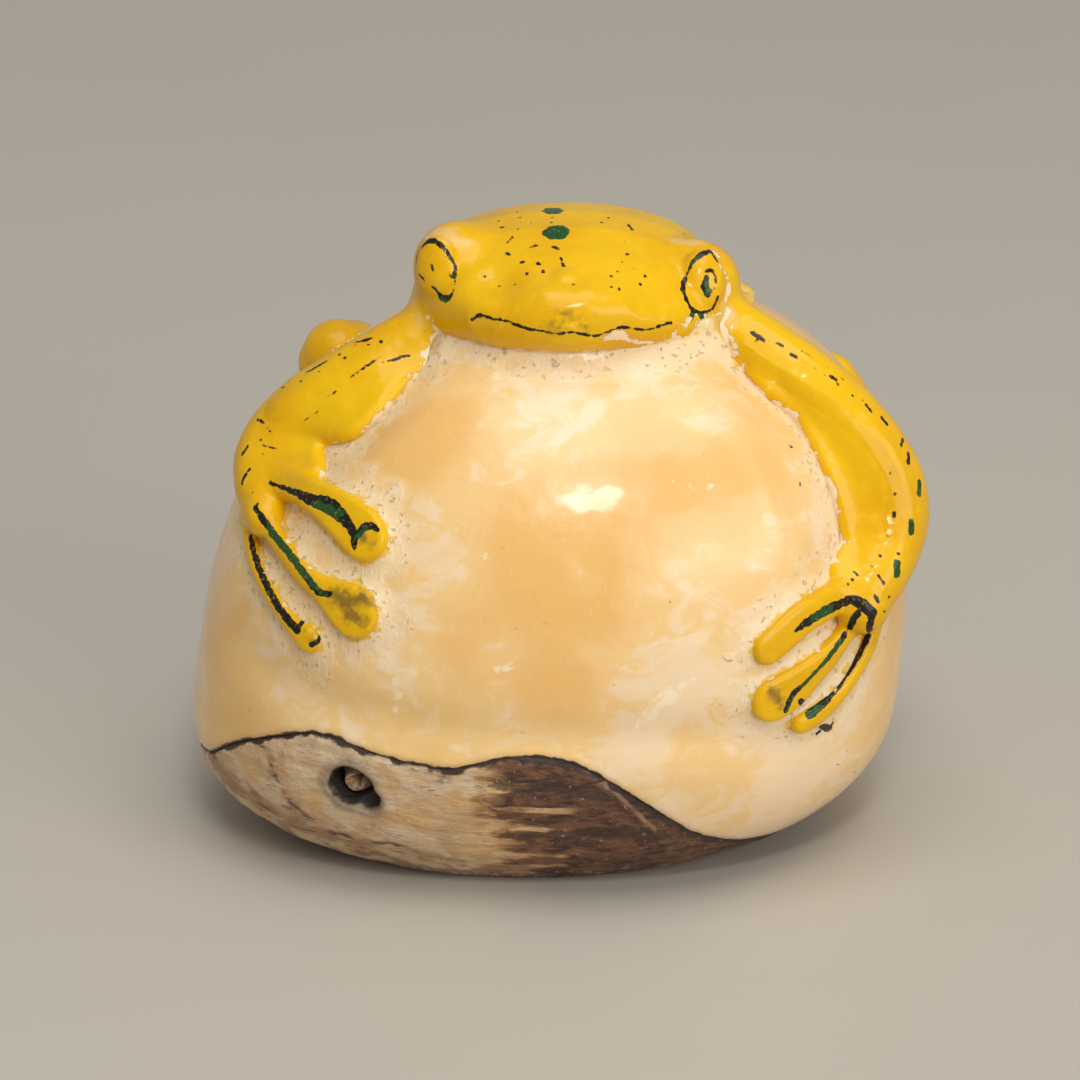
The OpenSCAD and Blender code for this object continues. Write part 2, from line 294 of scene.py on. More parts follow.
def loft_box(rows, pad):
    low = [(rows[:, 1] - rows[:, 3]).min(), rows[0, 0], (rows[:, 2] - rows[:, 4]).min()]
    high = [(rows[:, 1] + rows[:, 3]).max(), rows[-1, 0], (rows[:, 2] + rows[:, 4]).max()]
    return np.array(low) - pad, np.array(high) + pad


# Stations are x, y, z, radius, unless a comment says otherwise.
JAW = [
    [-7.2, -1.5, 34.1, 2.1], [-5.9, -4.6, 34.7, 1.9], [-3.4, -6.8, 35.1, 1.6],
    [0.6, -8.0, 35.2, 1.45], [4.8, -7.1, 35, 1.6], [7.9, -4.8, 34.4, 1.9], [9.5, -1.5, 33.8, 2.1],
]
LEFT_MOUND = [8.35, -2.9, 35.9, 2.75]
RIGHT_MOUND = [-6.4, -2.7, 37.2, 2.6]
# Small mounds added over the nostrils and brow, and dips taken out beside the snout.
NOSE = [[-0.7, -8.75, 36.7, 0.7], [1.5, -8.7, 36.7, 0.7], [0.3, -7.6, 37.6, 0.6]]
HOLLOWS = [[-4.2, -8.3, 38.9, 1.5], [6.6, -8.6, 38.1, 1.7]]

TRUNK = [
    [1.4, 4.5, 32.4, 5.2], [1.5, 8, 31.2, 5.6], [1.5, 11, 29.2, 5.6], [1.5, 13.6, 26.6, 5.0],
    [1.5, 15.4, 23.8, 3.8], [1.5, 16.6, 21.4, 2.6], [1.5, 17.2, 19.6, 1.8],
]
LEFT_ARM = [
    [8.6, -2.2, 33.1, 2], [10.8, -3.9, 32.8, 2.1], [12.9, -4.9, 31.7, 2.1], [14.9, -5.8, 30.4, 2.2],
    [16.9, -6.4, 28.7, 2.3], [18.6, -6.9, 26.7, 2.4], [19.8, -7.4, 24.6, 2.45],
    [20.2, -8, 22.6, 2.4], [19.8, -9.4, 20.9, 2.15], [19, -10.8, 19.4, 1.9], [18.5, -11.8, 18.2, 1.6],
]
RIGHT_ARM = [
    [-5.6, -2, 33.6, 2], [-7.6, -3, 33.1, 1.8], [-9.6, -3.4, 32.1, 1.8], [-11.7, -3.9, 30.9, 1.85],
    [-13.6, -4, 29.5, 2.05], [-15.4, -3.8, 28, 2.25], [-16.9, -3.7, 26.3, 2.35],
    [-17.8, -4.2, 24.8, 2.3], [-18.1, -6, 23.7, 1.85], [-18.3, -7.4, 23, 1.3],
]
LEFT_WRIST = [18.4, -12, 17.9, 1.3]
RIGHT_WRIST = [-18.1, -8.4, 22.6, 1.15]
# The flat inner face of each arm and the fingers lie on the nut, laid out on the
# card as seen from the eye: across, up, radius.
LEFT_FACE = [
    [12.7, 12.4, 0.6], [14.7, 9.9, 0.5], [16.7, 8.4, 0.5], [17.9, 6.4, 0.5], [19.1, 3.7, 0.5],
    [19.8, 1.3, 0.5], [20, -0.3, 0.5], [19.2, -2, 0.6],
]
RIGHT_FACE = [
    [-6.9, 12.1, 0.6], [-8.9, 10.6, 0.5], [-10.4, 8.9, 0.5], [-11.9, 7.4, 0.5], [-12.9, 7, 0.5],
    [-14.4, 6.8, 0.5], [-14.6, 5.5, 0.5], [-14.5, 4.4, 0.6],
]
LEFT_FINGERS = [
    [[19.2, -3.3, 1.05], [17.6, -4.2, 1.05], [16.4, -4.9, 1.1], [15.2, -6, 1.1], [14.3, -6.8, 1.05]],
    [[20, -4.7, 0.6], [19.1, -6, 0.65], [18.1, -7.2, 0.85], [16.9, -8.3, 1.1], [15.6, -9.4, 1.4],
     [14.6, -10.0, 1.45]],
    [[21.1, -4.7, 0.65], [20.6, -6.6, 0.55], [19.7, -8.3, 0.52], [18.6, -9.8, 0.6], [17.5, -10.8, 0.75],
     [16.4, -11.5, 0.7]],
]
RIGHT_FINGERS = [
    [[-16.9, 3.5, 0.95], [-15.2, 3.3, 1.0], [-13.9, 2.6, 1.1], [-12.6, 1.7, 1.35], [-11.4, 0.7, 1.55],
     [-10.9, 0.1, 1.5]],
    [[-17.6, 2.1, 0.6], [-16.9, 0.6, 0.62], [-15.9, -0.8, 0.65], [-14.8, -2.2, 0.7], [-13.5, -3.2, 0.9],
     [-12.4, -3.9, 1.35], [-11.6, -4.5, 1.65]],
    [[-18.3, 1.3, 0.55], [-18, -0.6, 0.52], [-17.4, -2.4, 0.5], [-16.4, -4.1, 0.52], [-15.4, -5.4, 0.65],
     [-14.5, -6.2, 0.9]],
]
# The fingers are cut flat this far above the nut.
PLATE = 0.62
LEFT_LEG = [
    [5.5, 16.8, 23.4, 2.8], [9.5, 15.6, 23.6, 2.8], [13.6, 13, 24.4, 2.5], [17, 10, 25, 2.2],
    [18.3, 10.6, 21.5, 2.1], [18, 12, 18, 1.9], [15.6, 14.2, 15, 1.7],
]
RIGHT_LEG = [
    [-3.4, 16.6, 23.6, 2.8], [-7, 15.3, 24, 2.8], [-10.8, 13, 24.9, 2.5], [-14.2, 9, 27.5, 2.2],
    [-14.9, 11.2, 24.2, 1.9], [-16.2, 11.8, 20.8, 1.8], [-15, 13.9, 17.6, 1.7],
]
LEFT_HEEL = [16.3, 13.6, 13.4, 1.6]
RIGHT_HEEL = [-15.9, 13.3, 16, 1.6]
# Toes: angle and height on the nut, lift, radius.
LEFT_TOES = [
    [[131, 14.6, 0.6, 1.1], [124, 15, 0.5, 1], [118, 15, 0.2, 1.3]],
    [[131, 12.6, 0.6, 1], [124, 11.5, 0.5, 1], [118, 10.7, 0.2, 1.4]],
    [[134, 11.4, 0.6, 1], [129, 9.4, 0.5, 0.9], [124, 7.8, 0.2, 1.3]],
]
RIGHT_TOES = [
    [[-131, 17.2, 0.6, 1.1], [-124, 17.5, 0.5, 1], [-118, 17.4, 0.2, 1.3]],
    [[-131, 15, 0.6, 1], [-124, 13.9, 0.5, 1], [-118, 13, 0.2, 1.4]],
    [[-134, 13.8, 0.6, 1], [-129, 11.8, 0.5, 0.9], [-124, 10.2, 0.2, 1.3]],
]


def laid(path):
    return [[*on_nut(angle, level, lift), r] for angle, level, lift, r in path]


# Distances to the frog's parts are worked out this far from each of them.
REACH = 3.6


def join(shapes, k):
    """Several shapes blended into one, each worked out only near its own box."""
    def distance(p):
        d = np.full(len(p), REACH + 0.6, np.float32)
        for f, low, high in shapes:
            near = ((p > low - REACH) & (p < high + REACH)).all(1)
            if near.any():
                d[near] = soft_min(d[near], f(p[near]).astype(np.float32), k)
        return d
    low = np.min([s[1] for s in shapes], 0)
    high = np.max([s[2] for s in shapes], 0)
    return distance, low, high


def digits(root, paths, k):
    """Toes laid on the nut, all starting from one root."""
    return join([chain([root] + laid(path)) for path in paths], k)


def nut_height(points):
    """Roughly how far points are above the nut's surface, in mm."""
    p = np.asarray(points, float)
    z = np.clip(p[:, 2], 0.05, NUT[2] - 0.02)
    above = np.clip(z + 0.05, 0.05, NUT[2] - 0.01)
    level = outline_level(p, z) ** (1 / SQUARENESS)
    level_above = outline_level(p, above) ** (1 / SQUARENESS)
    flat = np.hypot(p[:, 0] - lean(z), p[:, 1])
    slope_z = (level_above - level) / np.maximum(above - z, 1e-4)
    slope = np.hypot(level / np.maximum(flat, 0.5), slope_z)
    height = (level - 1) / np.maximum(slope, 1e-6)
    return np.where(p[:, 2] > NUT[2], np.maximum(p[:, 2] - NUT[2], height), height)


def flat_hand(wrist, paths, k):
    """Fingers cut flat on top, like a plate lying on the nut."""
    rows = [[[*on_card(x, h, max(PLATE - r, 0)), r] for x, h, r in path] for path in paths]
    fingers = join([chain(row) for row in rows], k)

    def plate(p):
        top = nut_height(p).astype(np.float32) - PLATE
        return soft_max(fingers[0](p), top, 0.28)
    return join([(plate, fingers[1], fingers[2]), chain([wrist, rows[0][0]]),
                 chain([wrist, rows[1][0]]), chain([wrist, rows[2][0]])], 0.35)


def faced_arm(stations, face):
    """An arm with a flat inner face, webbed across to beads that lie on the nut."""
    inner = np.array([[*on_card(x, h, -0.65), r] for x, h, r in face])
    outer = np.array(stations)[1:-1]
    shapes = [chain(stations), chain(inner)]
    for t in np.linspace(0, 1, 22):
        ends = [[np.interp(t * (len(rows) - 1), np.arange(len(rows)), rows[:, k]) for k in range(4)]
                for rows in (outer, inner)]
        shapes.append(chain(ends, 1))
    return join(shapes, 0.5)


def head_shape():
    """The skull with its jaw, eye mounds, snout and nostrils, less the hollows."""
    low, high = loft_box(HEAD, 0.3)
    skull = join([
        (head_distance, low, high), chain(JAW),
        egg(LEFT_MOUND[:3], [LEFT_MOUND[3]] * 3), egg(RIGHT_MOUND[:3], [RIGHT_MOUND[3]] * 3),
        egg([0.6, -8.6, 36.2], [3.4, 1.3, 1.4]),
    ], 1.0)

    def distance(p):
        d = skull[0](p)
        for *spot, r in HOLLOWS:
            d = soft_max(d, r - np.linalg.norm(p - np.array(spot, np.float32), axis=1), 1.6)
        for *spot, r in NOSE:
            d = soft_min(d, np.linalg.norm(p - np.array(spot, np.float32), axis=1) - r, 0.7)
        return d
    return distance, skull[1], skull[2]


PARTS = {
    "frog_head": head_shape(),
    "left_eye": egg([8.7, -5.2, 36.95], [1.35, 1.85, 0.75], 8, 24),
    "right_eye": egg([-7.6, -4.85, 37.75], [1.35, 1.85, 0.75], -28, 12),
    "frog_trunk": chain(TRUNK),
    "left_foreleg": faced_arm(LEFT_ARM, LEFT_FACE),
    "right_foreleg": faced_arm(RIGHT_ARM, RIGHT_FACE),
    "left_hand": flat_hand(LEFT_WRIST, LEFT_FINGERS, 0.3),
    "right_hand": flat_hand(RIGHT_WRIST, RIGHT_FINGERS, 0.3),
    "left_hind_leg": chain(LEFT_LEG),
    "right_hind_leg": chain(RIGHT_LEG),
    "left_foot": digits(LEFT_HEEL, LEFT_TOES, 0.5),
    "right_foot": digits(RIGHT_HEEL, RIGHT_TOES, 0.5),
}
# How softly each part runs into the ones before it, where it isn't 1.
BLEND = {"left_eye": 0.25, "right_eye": 0.25, "left_hand": 0.7, "right_hand": 0.7}


def frog_distance(p, only=None, margin=2.5):
    """Distance to the whole frog, or only to the named parts of it."""
    d = np.full(len(p), margin + 1.5, np.float32)
    for name, (f, low, high) in PARTS.items():
        if only and name not in only:
            continue
        near = ((p > low - margin) & (p < high + margin)).all(1)
        if near.any():
            d[near] = soft_min(d[near], f(p[near]).astype(np.float32), BLEND.get(name, 1.0))
    return d


def polygons(pitch=0.14, block=8):
    """The frog's whole skin as points and quads, sampled only near the skin."""
    low = np.min([s[1] for s in PARTS.values()], 0) - 1
    high = np.max([s[2] for s in PARTS.values()], 0) + 1
    size = pitch * block
    count = np.ceil((high - low) / size).astype(int)
    cells = np.stack(np.meshgrid(*[np.arange(n) for n in count], indexing="ij"), -1).reshape(-1, 3)
    middles = (low + (cells + 0.5) * size).astype(np.float32)
    coarse = frog_distance(middles)
    near = np.abs(coarse) < size * 1.15
    field = np.where(coarse[:, None] > 0, 2.0, -2.0).astype(np.float32)
    field = field * np.ones(block ** 3, np.float32)
    inner = np.stack(np.meshgrid(*[np.arange(block)] * 3, indexing="ij"), -1).reshape(-1, 3) * pitch
    busy = np.flatnonzero(near)
    for start in range(0, len(busy), 400):
        chosen = busy[start:start + 400]
        base = low + cells[chosen] * size
        points = (base[:, None] + inner[None]).reshape(-1, 3).astype(np.float32)
        field[chosen] = frog_distance(points).reshape(len(chosen), -1)
    field = field.reshape(*count, block, block, block).transpose(0, 3, 1, 4, 2, 5)
    field = np.ascontiguousarray(field.reshape(count * block))
    grid = openvdb.FloatGrid(2.0)
    grid.copyFromArray(field)
    points, quads = grid.convertToQuads(0.0)
    return points * pitch + low, quads


# ---------------------------------------------------------------- making pieces

def make_piece(name, points, faces, normals=None, marks=None):
    """A piece of the object from points in the layout's millimetres."""
    mesh = bpy.data.meshes.new(name)
    mesh.from_pydata([], [], [])
    mesh.vertices.add(len(points))
    mesh.vertices.foreach_set("co", to_metres(points).astype(np.float32).ravel())
    faces = np.asarray(faces, np.int32)
    mesh.loops.add(faces.size)
    mesh.loops.foreach_set("vertex_index", faces.ravel())
    mesh.polygons.add(len(faces))
    mesh.polygons.foreach_set("loop_start", np.arange(0, faces.size, faces.shape[1], dtype=np.int32))
    mesh.update(calc_edges=True)
    mesh.validate()
    mesh.polygons.foreach_set("use_smooth", np.ones(len(mesh.polygons), bool))
    if normals is not None:
        mesh.normals_split_custom_set_from_vertices(normals.astype(np.float32))
    for key, values in (marks or {}).items():
        values = np.asarray(values, np.float32)
        kind = "FLOAT_VECTOR" if values.ndim > 1 else "FLOAT"
        layer = mesh.attributes.new(key, kind, "POINT")
        layer.data.foreach_set("vector" if values.ndim > 1 else "value", values.ravel())
    piece = bpy.data.objects.new(name, mesh)
    bpy.context.scene.collection.objects.link(piece)
    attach(piece, "root")
    return piece


def vertex_normals(points, quads):
    """Unit normals at the points, averaged over the quads round each."""
    a, b, c, d = (points[quads[:, k]] for k in range(4))
    face = np.cross(c - a, d - b)
    total = np.zeros_like(points)
    for k in range(4):
        np.add.at(total, quads[:, k], face)
    return total / np.maximum(np.linalg.norm(total, axis=1, keepdims=True), 1e-9)


def cast(tree, x, h):
    """Where the line from the eye through the card meets the carving."""
    target = AIM + np.array([x, 0, 0]) + UP * h
    ray = target - EYE
    hit = tree.ray_cast(Vector(EYE), Vector(ray / np.linalg.norm(ray)))
    return None if hit[0] is None else np.array(hit[0])


def drawn(tree, strokes):
    """Pen strokes [x, h, radius] on the card as chains of stations on the carving."""
    out = []
    for stroke in strokes:
        rows = []
        for x, h, r in spline(stroke, 3) if len(stroke) > 2 else stroke:
            spot = cast(tree, x, h)
            if spot is not None and (not rows or abs(spot[1] - rows[-1][1]) < 3):
                rows.append([*spot, r])
        if len(rows) == 1:
            rows.append(rows[0])
        if rows:
            out.append(np.array(rows))
    return out


def ink_depth(points, chains, reach=0.6):
    """How far each point is inside the nearest stroke, in mm; negative outside."""
    depth = np.full(len(points), -reach, np.float32)
    p = points.astype(np.float32)
    for rows in chains:
        margin = reach + rows[:, 3].max()
        low, high = rows[:, :3].min(0) - margin, rows[:, :3].max(0) + margin
        near = np.flatnonzero(((p > low) & (p < high)).all(1))
        if len(near):
            for a, b in zip(rows[:-1], rows[1:]):
                depth[near] = np.maximum(depth[near], -link_distance(p[near], a, b))
    return depth


def dots(rows):
    """Each row is x, h, radius, then optionally how far it runs across and up."""
    out = []
    for x, h, r, *run in rows:
        dx, dh = run if run else (0.02, 0)
        out.append([[x - dx / 2, h - dh / 2, r], [x + dx / 2, h + dh / 2, r]])
    return out


# Marks on the paint, on the card: dots as dots() takes them, strokes as x, h, radius.
HEAD_DOTS = [
    (-1.4, 20.7, 0.12), (-1.3, 20.3, 0.12), (0.8, 20.3, 0.13), (0.7, 20, 0.1), (-2.6, 20.1, 0.12),
    (-2.4, 19.7, 0.14), (-1.4, 19.6, 0.12), (-1.9, 18.9, 0.14, 0.3, 0.3), (-0.4, 18.5, 0.13, 0.3, 0.1),
    (1, 18.4, 0.15, 0.25, -0.1), (-2, 18, 0.15, 0.2, -0.1), (-1.1, 17.5, 0.17), (-0.1, 17.4, 0.18),
    (-0.8, 16.8, 0.18), (0.2, 16.9, 0.18), (1.4, 17.5, 0.12, 0.15, -0.5), (-3.5, 16.6, 0.11),
    (-2.6, 16, 0.1), (-1.6, 16.1, 0.12), (-4.3, 16.9, 0.11), (2.1, 16.1, 0.11), (4.5, 16.6, 0.13),
    (4.5, 15.9, 0.14), (5, 15.8, 0.15), (6.6, 16.6, 0.13), (6.3, 16.1, 0.13), (4.9, 16.9, 0.11),
    (5.2, 17.5, 0.12), (5.5, 18, 0.12), (5.4, 18.8, 0.12), (4.3, 20.3, 0.12), (4.2, 20.7, 0.12),
    (3.9, 20, 0.12), (5.7, 19.7, 0.14, 0.2, -0.3), (6.2, 20, 0.11), (9.1, 19.3, 0.12),
    (-3.2, 20.5, 0.11), (3.1, 20.9, 0.11), (6, 19.1, 0.1), (5.9, 17.1, 0.1), (-0.6, 20, 0.1),
]
BIG_SPOTS = [(1, 19.4, 0.5, 0.75, 0.04), (1, 19.65, 0.35, 0.45, 0.04), (1.05, 19.2, 0.42, 0.5, 0),
             (0.8, 20.75, 0.4, 0.65, 0), (0.8, 20.85, 0.35, 0.45, 0), (0.8, 20.65, 0.3, 0.45, 0)]
MOUTH = [
    [-4.3, 13.9, 0.12], [-3.7, 14.15, 0.15], [-3, 13.95, 0.12], [-2.1, 13.8, 0.11], [-1.1, 13.4, 0.12],
    [-0.1, 13.2, 0.11], [1.2, 13, 0.12], [2.1, 13.1, 0.11], [2.8, 12.95, 0.12], [3.6, 12.85, 0.11],
    [4.4, 13.2, 0.1], [5.2, 13.4, 0.12], [6, 13.3, 0.1], [6.9, 13.3, 0.11], [7.6, 13.5, 0.12],
    [8.3, 13.7, 0.13],
]
SMUDGE = [
    [[0.7, 13.9, 0.1], [1.6, 13.7, 0.14], [2.4, 13.9, 0.1]],
    [[0.2, 13.4, 0.1], [1.4, 13.35, 0.14], [2.9, 13.5, 0.1]],
    [[2, 13.3, 0.1], [2.6, 13.6, 0.12], [3.1, 13.3, 0.1]],
    [[1.0, 14.2, 0.07], [1.9, 14.3, 0.08]],
]
RIGHT_EYE_RING = [
    [-7.85, 17.1, 0.05], [-7.75, 17.8, 0.1], [-7.5, 18.4, 0.16], [-7.0, 18.85, 0.22],
    [-6.5, 18.75, 0.2], [-6, 18.3, 0.15], [-5.6, 17.7, 0.13], [-5.35, 17.2, 0.14],
    [-5.4, 16.7, 0.16], [-5.35, 16.1, 0.04], [-5.5, 15.6, 0.12], [-5.8, 15.2, 0.24],
    [-6.2, 15.3, 0.22], [-6.6, 15.8, 0.12], [-7, 16.1, 0.05], [-7.4, 16.5, 0.1], [-7.7, 16.8, 0.06],
]
LEFT_EYE_RING = [
    [11.2, 17.5, 0.06], [10.8, 18.1, 0.18], [10.4, 18.15, 0.24], [9.9, 17.8, 0.18], [9.5, 17.3, 0.14],
    [9.15, 16.5, 0.13], [9.0, 15.9, 0.2], [9.2, 15.2, 0.14], [9.6, 14.5, 0.2], [10, 14.3, 0.16],
    [10.6, 14.4, 0.1], [11, 14.8, 0.16], [11.25, 15.4, 0.09],
]
EYE_INK = [
    [[-6.9, 17.5, 0.1], [-6.75, 17.0, 0.13]],
    [[-5.8, 17, 0.04], [-5.6, 16.5, 0.06]],
    [[10.45, 16.95, 0.13], [10.8, 17, 0.12], [11.05, 16.6, 0.1], [11.05, 16, 0.09], [10.8, 15.5, 0.1]],
    [[10.45, 16.5, 0.2], [10.4, 15.9, 0.3], [10.6, 15.4, 0.2]],
    [[9.6, 14.3, 0.2], [9.5, 13.8, 0.14]],
    [[10.1, 14, 0.12], [10.7, 13.85, 0.2]],
]
EYE_GREEN = [[[10.45, 16.3, 0.14], [10.5, 15.6, 0.2]], [[9.6, 14.1, 0.2], [10.7, 13.85, 0.2]],
             [[-6.2, 15.1, 0.2], [-5.7, 14.95, 0.12]], [[-5.7, 17, 0.05], [-5.5, 16.6, 0.1]],
             [[9.8, 17.6, 0.1], [9.2, 16.9, 0.1]]]
# Paint rubbed thin or off, so that the ivory under it shows.
BARE = [
    [[4.1, 12.75, 0.25], [5, 12.8, 0.42], [6, 12.5, 0.25], [7.4, 12.45, 0.15], [9, 12.6, 0.12]],
    [[11.3, 17.4, 0.14], [11.7, 16.7, 0.22], [11.9, 15.9, 0.24], [11.7, 15.2, 0.12]],
    [[10.9, 18.2, 0.1], [11.3, 17.8, 0.12]],
    [[-8, 18, 0.06], [-7.7, 18.6, 0.1], [-7.2, 19.05, 0.1], [-6.8, 19.1, 0.05]],
    [[-8.1, 17.6, 0.05], [-8.05, 17, 0.07], [-7.8, 16.6, 0.04]],
    [[-6, 17.9, 0.06], [-5.8, 17.5, 0.05]],
    [[-6.6, 12.9, 0.1], [-6.3, 12.3, 0.18], [-6.1, 11.6, 0.24], [-7, 11.2, 0.12]],
    [[11.6, 13.1, 0.1], [12.0, 12.7, 0.2], [12.3, 12.1, 0.16]],
    [[-8.5, 10.3, 0.14], [-7.9, 10.7, 0.12]],
]
WORN = [
    [[-7, 19.5, 0.5], [-5.9, 19.3, 0.7], [-4.9, 18.7, 0.4]],
    [[8.8, 18.9, 0.4], [9.7, 18.8, 0.7], [10.3, 18.6, 0.4]],
    [[-8.2, 16, 0.3], [-8, 15, 0.3], [-7.5, 14, 0.3]],
    [[11.9, 14.6, 0.4], [12, 13.8, 0.3]],
]
# The sharp ridge along the top of each arm.
ARM_RIDGES = [
    [[12.8, 12.4, 0.02], [14.5, 11.2, 0.02], [16.6, 10, 0.02], [18.4, 8.9, 0.02], [19.9, 7.7, 0.02],
     [21.4, 6.3, 0.02], [22.5, 4.6, 0.02], [22.9, 3, 0.02], [22.6, 1, 0.02]],
    [[-8.4, 12.9, 0.02], [-10.4, 11.9, 0.02], [-12.4, 10.8, 0.02], [-14.6, 9.7, 0.02],
     [-16.6, 8.4, 0.02]],
]

ARM_DOTS = [
    (-10, 12.5, 0.12), (-10.8, 12.3, 0.11), (-12.3, 11.5, 0.12), (-13.9, 10.6, 0.11), (-15.1, 10, 0.12),
    (-16.2, 9.6, 0.11, 0.2, 0.1), (-11.7, 12.25, 0.09, 0.2, 0.1), (-12.75, 11.65, 0.1, 0.3, 0.15),
    (-16.1, 9.85, 0.09, 0.5, 0.3), (-17.6, 7.5, 0.12, 0.35, -0.2), (-17.15, 7.1, 0.1),
    (-17.0, 6.85, 0.11), (-18.6, 5.65, 0.14, 0.35, 0.55), (-18.55, 4, 0.14, 0.45, 0.9),
    (-18.75, 7.05, 0.1, 0.2, 0.5), (-17, 5.85, 0.08, 0.9, -0.25), (-17.9, 4.9, 0.08), (-17.5, 5.4, 0.08),
    (-18.1, 3, 0.09), (-17.9, 2.2, 0.1, 0.2, 0.2), (-17.1, 5.3, 0.08), (-17.6, 6.3, 0.08),
    (-16.2, 8.3, 0.08), (-17.3, 8.3, 0.08),
    (15.1, 12.3, 0.14, 0.3, -0.2), (16, 11.6, 0.13, 0.3, -0.2), (16.7, 11.2, 0.12), (17.3, 10.9, 0.12),
    (18.5, 10.2, 0.13, 0.3, -0.2), (18.8, 9.8, 0.12), (19.7, 9.1, 0.12), (20.7, 8.3, 0.13, 0.3, -0.4),
    (21.7, 7.5, 0.14, 0.3, -0.4), (22.8, 6.2, 0.15, 0.1, 0.4), (23.3, 6.2, 0.13),
    (23.2, 5.2, 0.16, 0, 0.6), (22.4, 2.9, 0.12), (22.3, 1.6, 0.14, 0, 0.3),
    (21.4, -1, 0.14), (22.6, -0.9, 0.13),
    (19.9, -2.1, 0.12, 0.2, -0.2), (19.7, -2.5, 0.11), (19.4, -2.8, 0.11), (21.5, -2.5, 0.12, 0.3, -0.5),
    (21.2, -3.7, 0.14, 0.2, -0.4), (22, -3.6, 0.12), (21.7, -4.5, 0.12), (22.1, 4.2, 0.1),
    (21.9, 0.2, 0.1), (20.9, -1.7, 0.1), (14.4, 12.5, 0.1), (17.9, 10.4, 0.1), (20.3, 8.8, 0.1),
]
ARM_SPOTS = [(23.9, 3.3, 0.24, 0, 0.7), (23.4, 0.8, 0.26, 0, 0.6), (22.5, -1.8, 0.28, 0, 0.7)]
ARM_LINES = [
    [[-8.2, 11.6, 0.08], [-8.7, 11.55, 0.1], [-9.2, 11.35, 0.08], [-9.9, 11.2, 0.07]],
    [[-10.1, 11.5, 0.08], [-11, 10.9, 0.09], [-12, 10.2, 0.07]],
    [[-12.8, 9.4, 0.08], [-13.4, 9, 0.07]],
    [[-14, 8.1, 0.08], [-14.4, 7.8, 0.05], [-14.9, 7.5, 0.07]],
    [[-10.6, 12.75, 0.1], [-11.0, 12.6, 0.13], [-11.6, 12.45, 0.08]],
    [[-13.4, 11.3, 0.09], [-14.1, 10.9, 0.12], [-14.8, 10.5, 0.07]],
    [[13.3, 13.1, 0.12], [13.8, 12.8, 0.16], [14.2, 12.4, 0.09]],
    [[13.6, 12.5, 0.07], [13.9, 12.9, 0.1]],
    [[16.5, 11.9, 0.05], [18.2, 10.8, 0.04], [20, 9.4, 0.03]],
]
HAND_INK = [
    [[-17, 3.6, 0.18], [-16.3, 3.35, 0.16], [-15.4, 3.0, 0.24], [-14.3, 2.5, 0.42], [-13.4, 2.2, 0.55],
     [-12.6, 1.6, 0.45], [-12, 0.9, 0.34], [-11.7, 0.2, 0.3], [-11.7, -0.5, 0.2]],
    [[-11.6, 0.1, 0.24], [-11.2, 0.7, 0.3], [-10.6, 0.9, 0.24], [-10.2, 0.6, 0.14]],
    [[-17.9, 2, 0.2], [-16.9, 0.5, 0.28], [-15.9, -0.7, 0.26], [-14.9, -2.1, 0.27], [-14, -3.2, 0.28],
     [-13.2, -3.4, 0.2]],
    [[-18.3, 0.6, 0.14], [-18.1, -0.5, 0.2], [-17.8, -1.5, 0.24], [-17.3, -2.7, 0.24],
     [-16.8, -3.7, 0.26], [-16, -4.9, 0.28], [-15.3, -5.7, 0.3]],
    [[-15.3, -5.6, 0.24], [-14.8, -5.1, 0.22], [-14.2, -5.2, 0.2], [-13.8, -5.7, 0.2],
     [-13.9, -6.3, 0.22], [-14.4, -6.6, 0.2]],
    [[19.4, -3.7, 0.24], [20.2, -4, 0.42], [20.9, -4.6, 0.4]],
    [[19.6, -3.8, 0.24], [18.5, -4.2, 0.36], [17.6, -4.7, 0.34], [16.8, -5.2, 0.3], [16.1, -5.7, 0.16]],
    [[20, -4.6, 0.26], [19.2, -6, 0.2], [18.1, -7.5, 0.2], [16.8, -8.9, 0.18], [15.9, -9.8, 0.26],
     [15.5, -10.7, 0.22]],
    [[20.9, -4.9, 0.28], [20.4, -6.6, 0.24], [19.4, -8.3, 0.24], [18.4, -9.6, 0.26], [17.7, -10.4, 0.3],
     [17, -11, 0.34]],
    [[16.4, -10.2, 0.24], [16.8, -10.6, 0.2]],
]
HAND_GREEN = [
    [[-14.2, 2.3, 0.22], [-13.3, 1.9, 0.36], [-12.6, 1.6, 0.3]], [[-11.5, 0.2, 0.2], [-11, 0.6, 0.24]],
    [[-17.1, 0.8, 0.24], [-15.8, -0.9, 0.24], [-14.6, -2.5, 0.22], [-13.6, -3.3, 0.2]],
    [[-14.3, -6, 0.24], [-14.2, -5.7, 0.22]],
    [[18.2, -4.4, 0.3], [17.2, -4.9, 0.26]],
    [[19, -6.4, 0.2], [17.6, -8.1, 0.22], [16.4, -9.3, 0.2]],
    [[16, -10, 0.2], [15.7, -10.6, 0.2]],
    [[17.6, -10.7, 0.3], [17, -11.1, 0.34]],
]
HAND_STAIN = [
    [[-12.8, -3.6, 0.7], [-12.1, -3.9, 0.9], [-11.3, -3.8, 0.8], [-10.6, -3.7, 0.5]],
    [[-12.2, -4.6, 0.6], [-11.4, -4.9, 0.6]],
    [[-11.2, 0.2, 0.5], [-10.7, -0.2, 0.5]], [[-14.5, -6, 0.4], [-14.3, -6.1, 0.4]],
    [[14.6, -9.5, 0.3], [15.2, -10.2, 0.4]],
]


def reach_to(tree, points, level):
    """Distance from points to the ivory surface, for the points that lie near it."""
    out = np.full(len(points), 1.5, np.float32)
    for k in np.flatnonzero(np.abs(level) < 2.2):
        spot = tree.find_nearest(Vector(points[k]), 1.5)
        if spot[0] is not None:
            out[k] = spot[3]
    return out


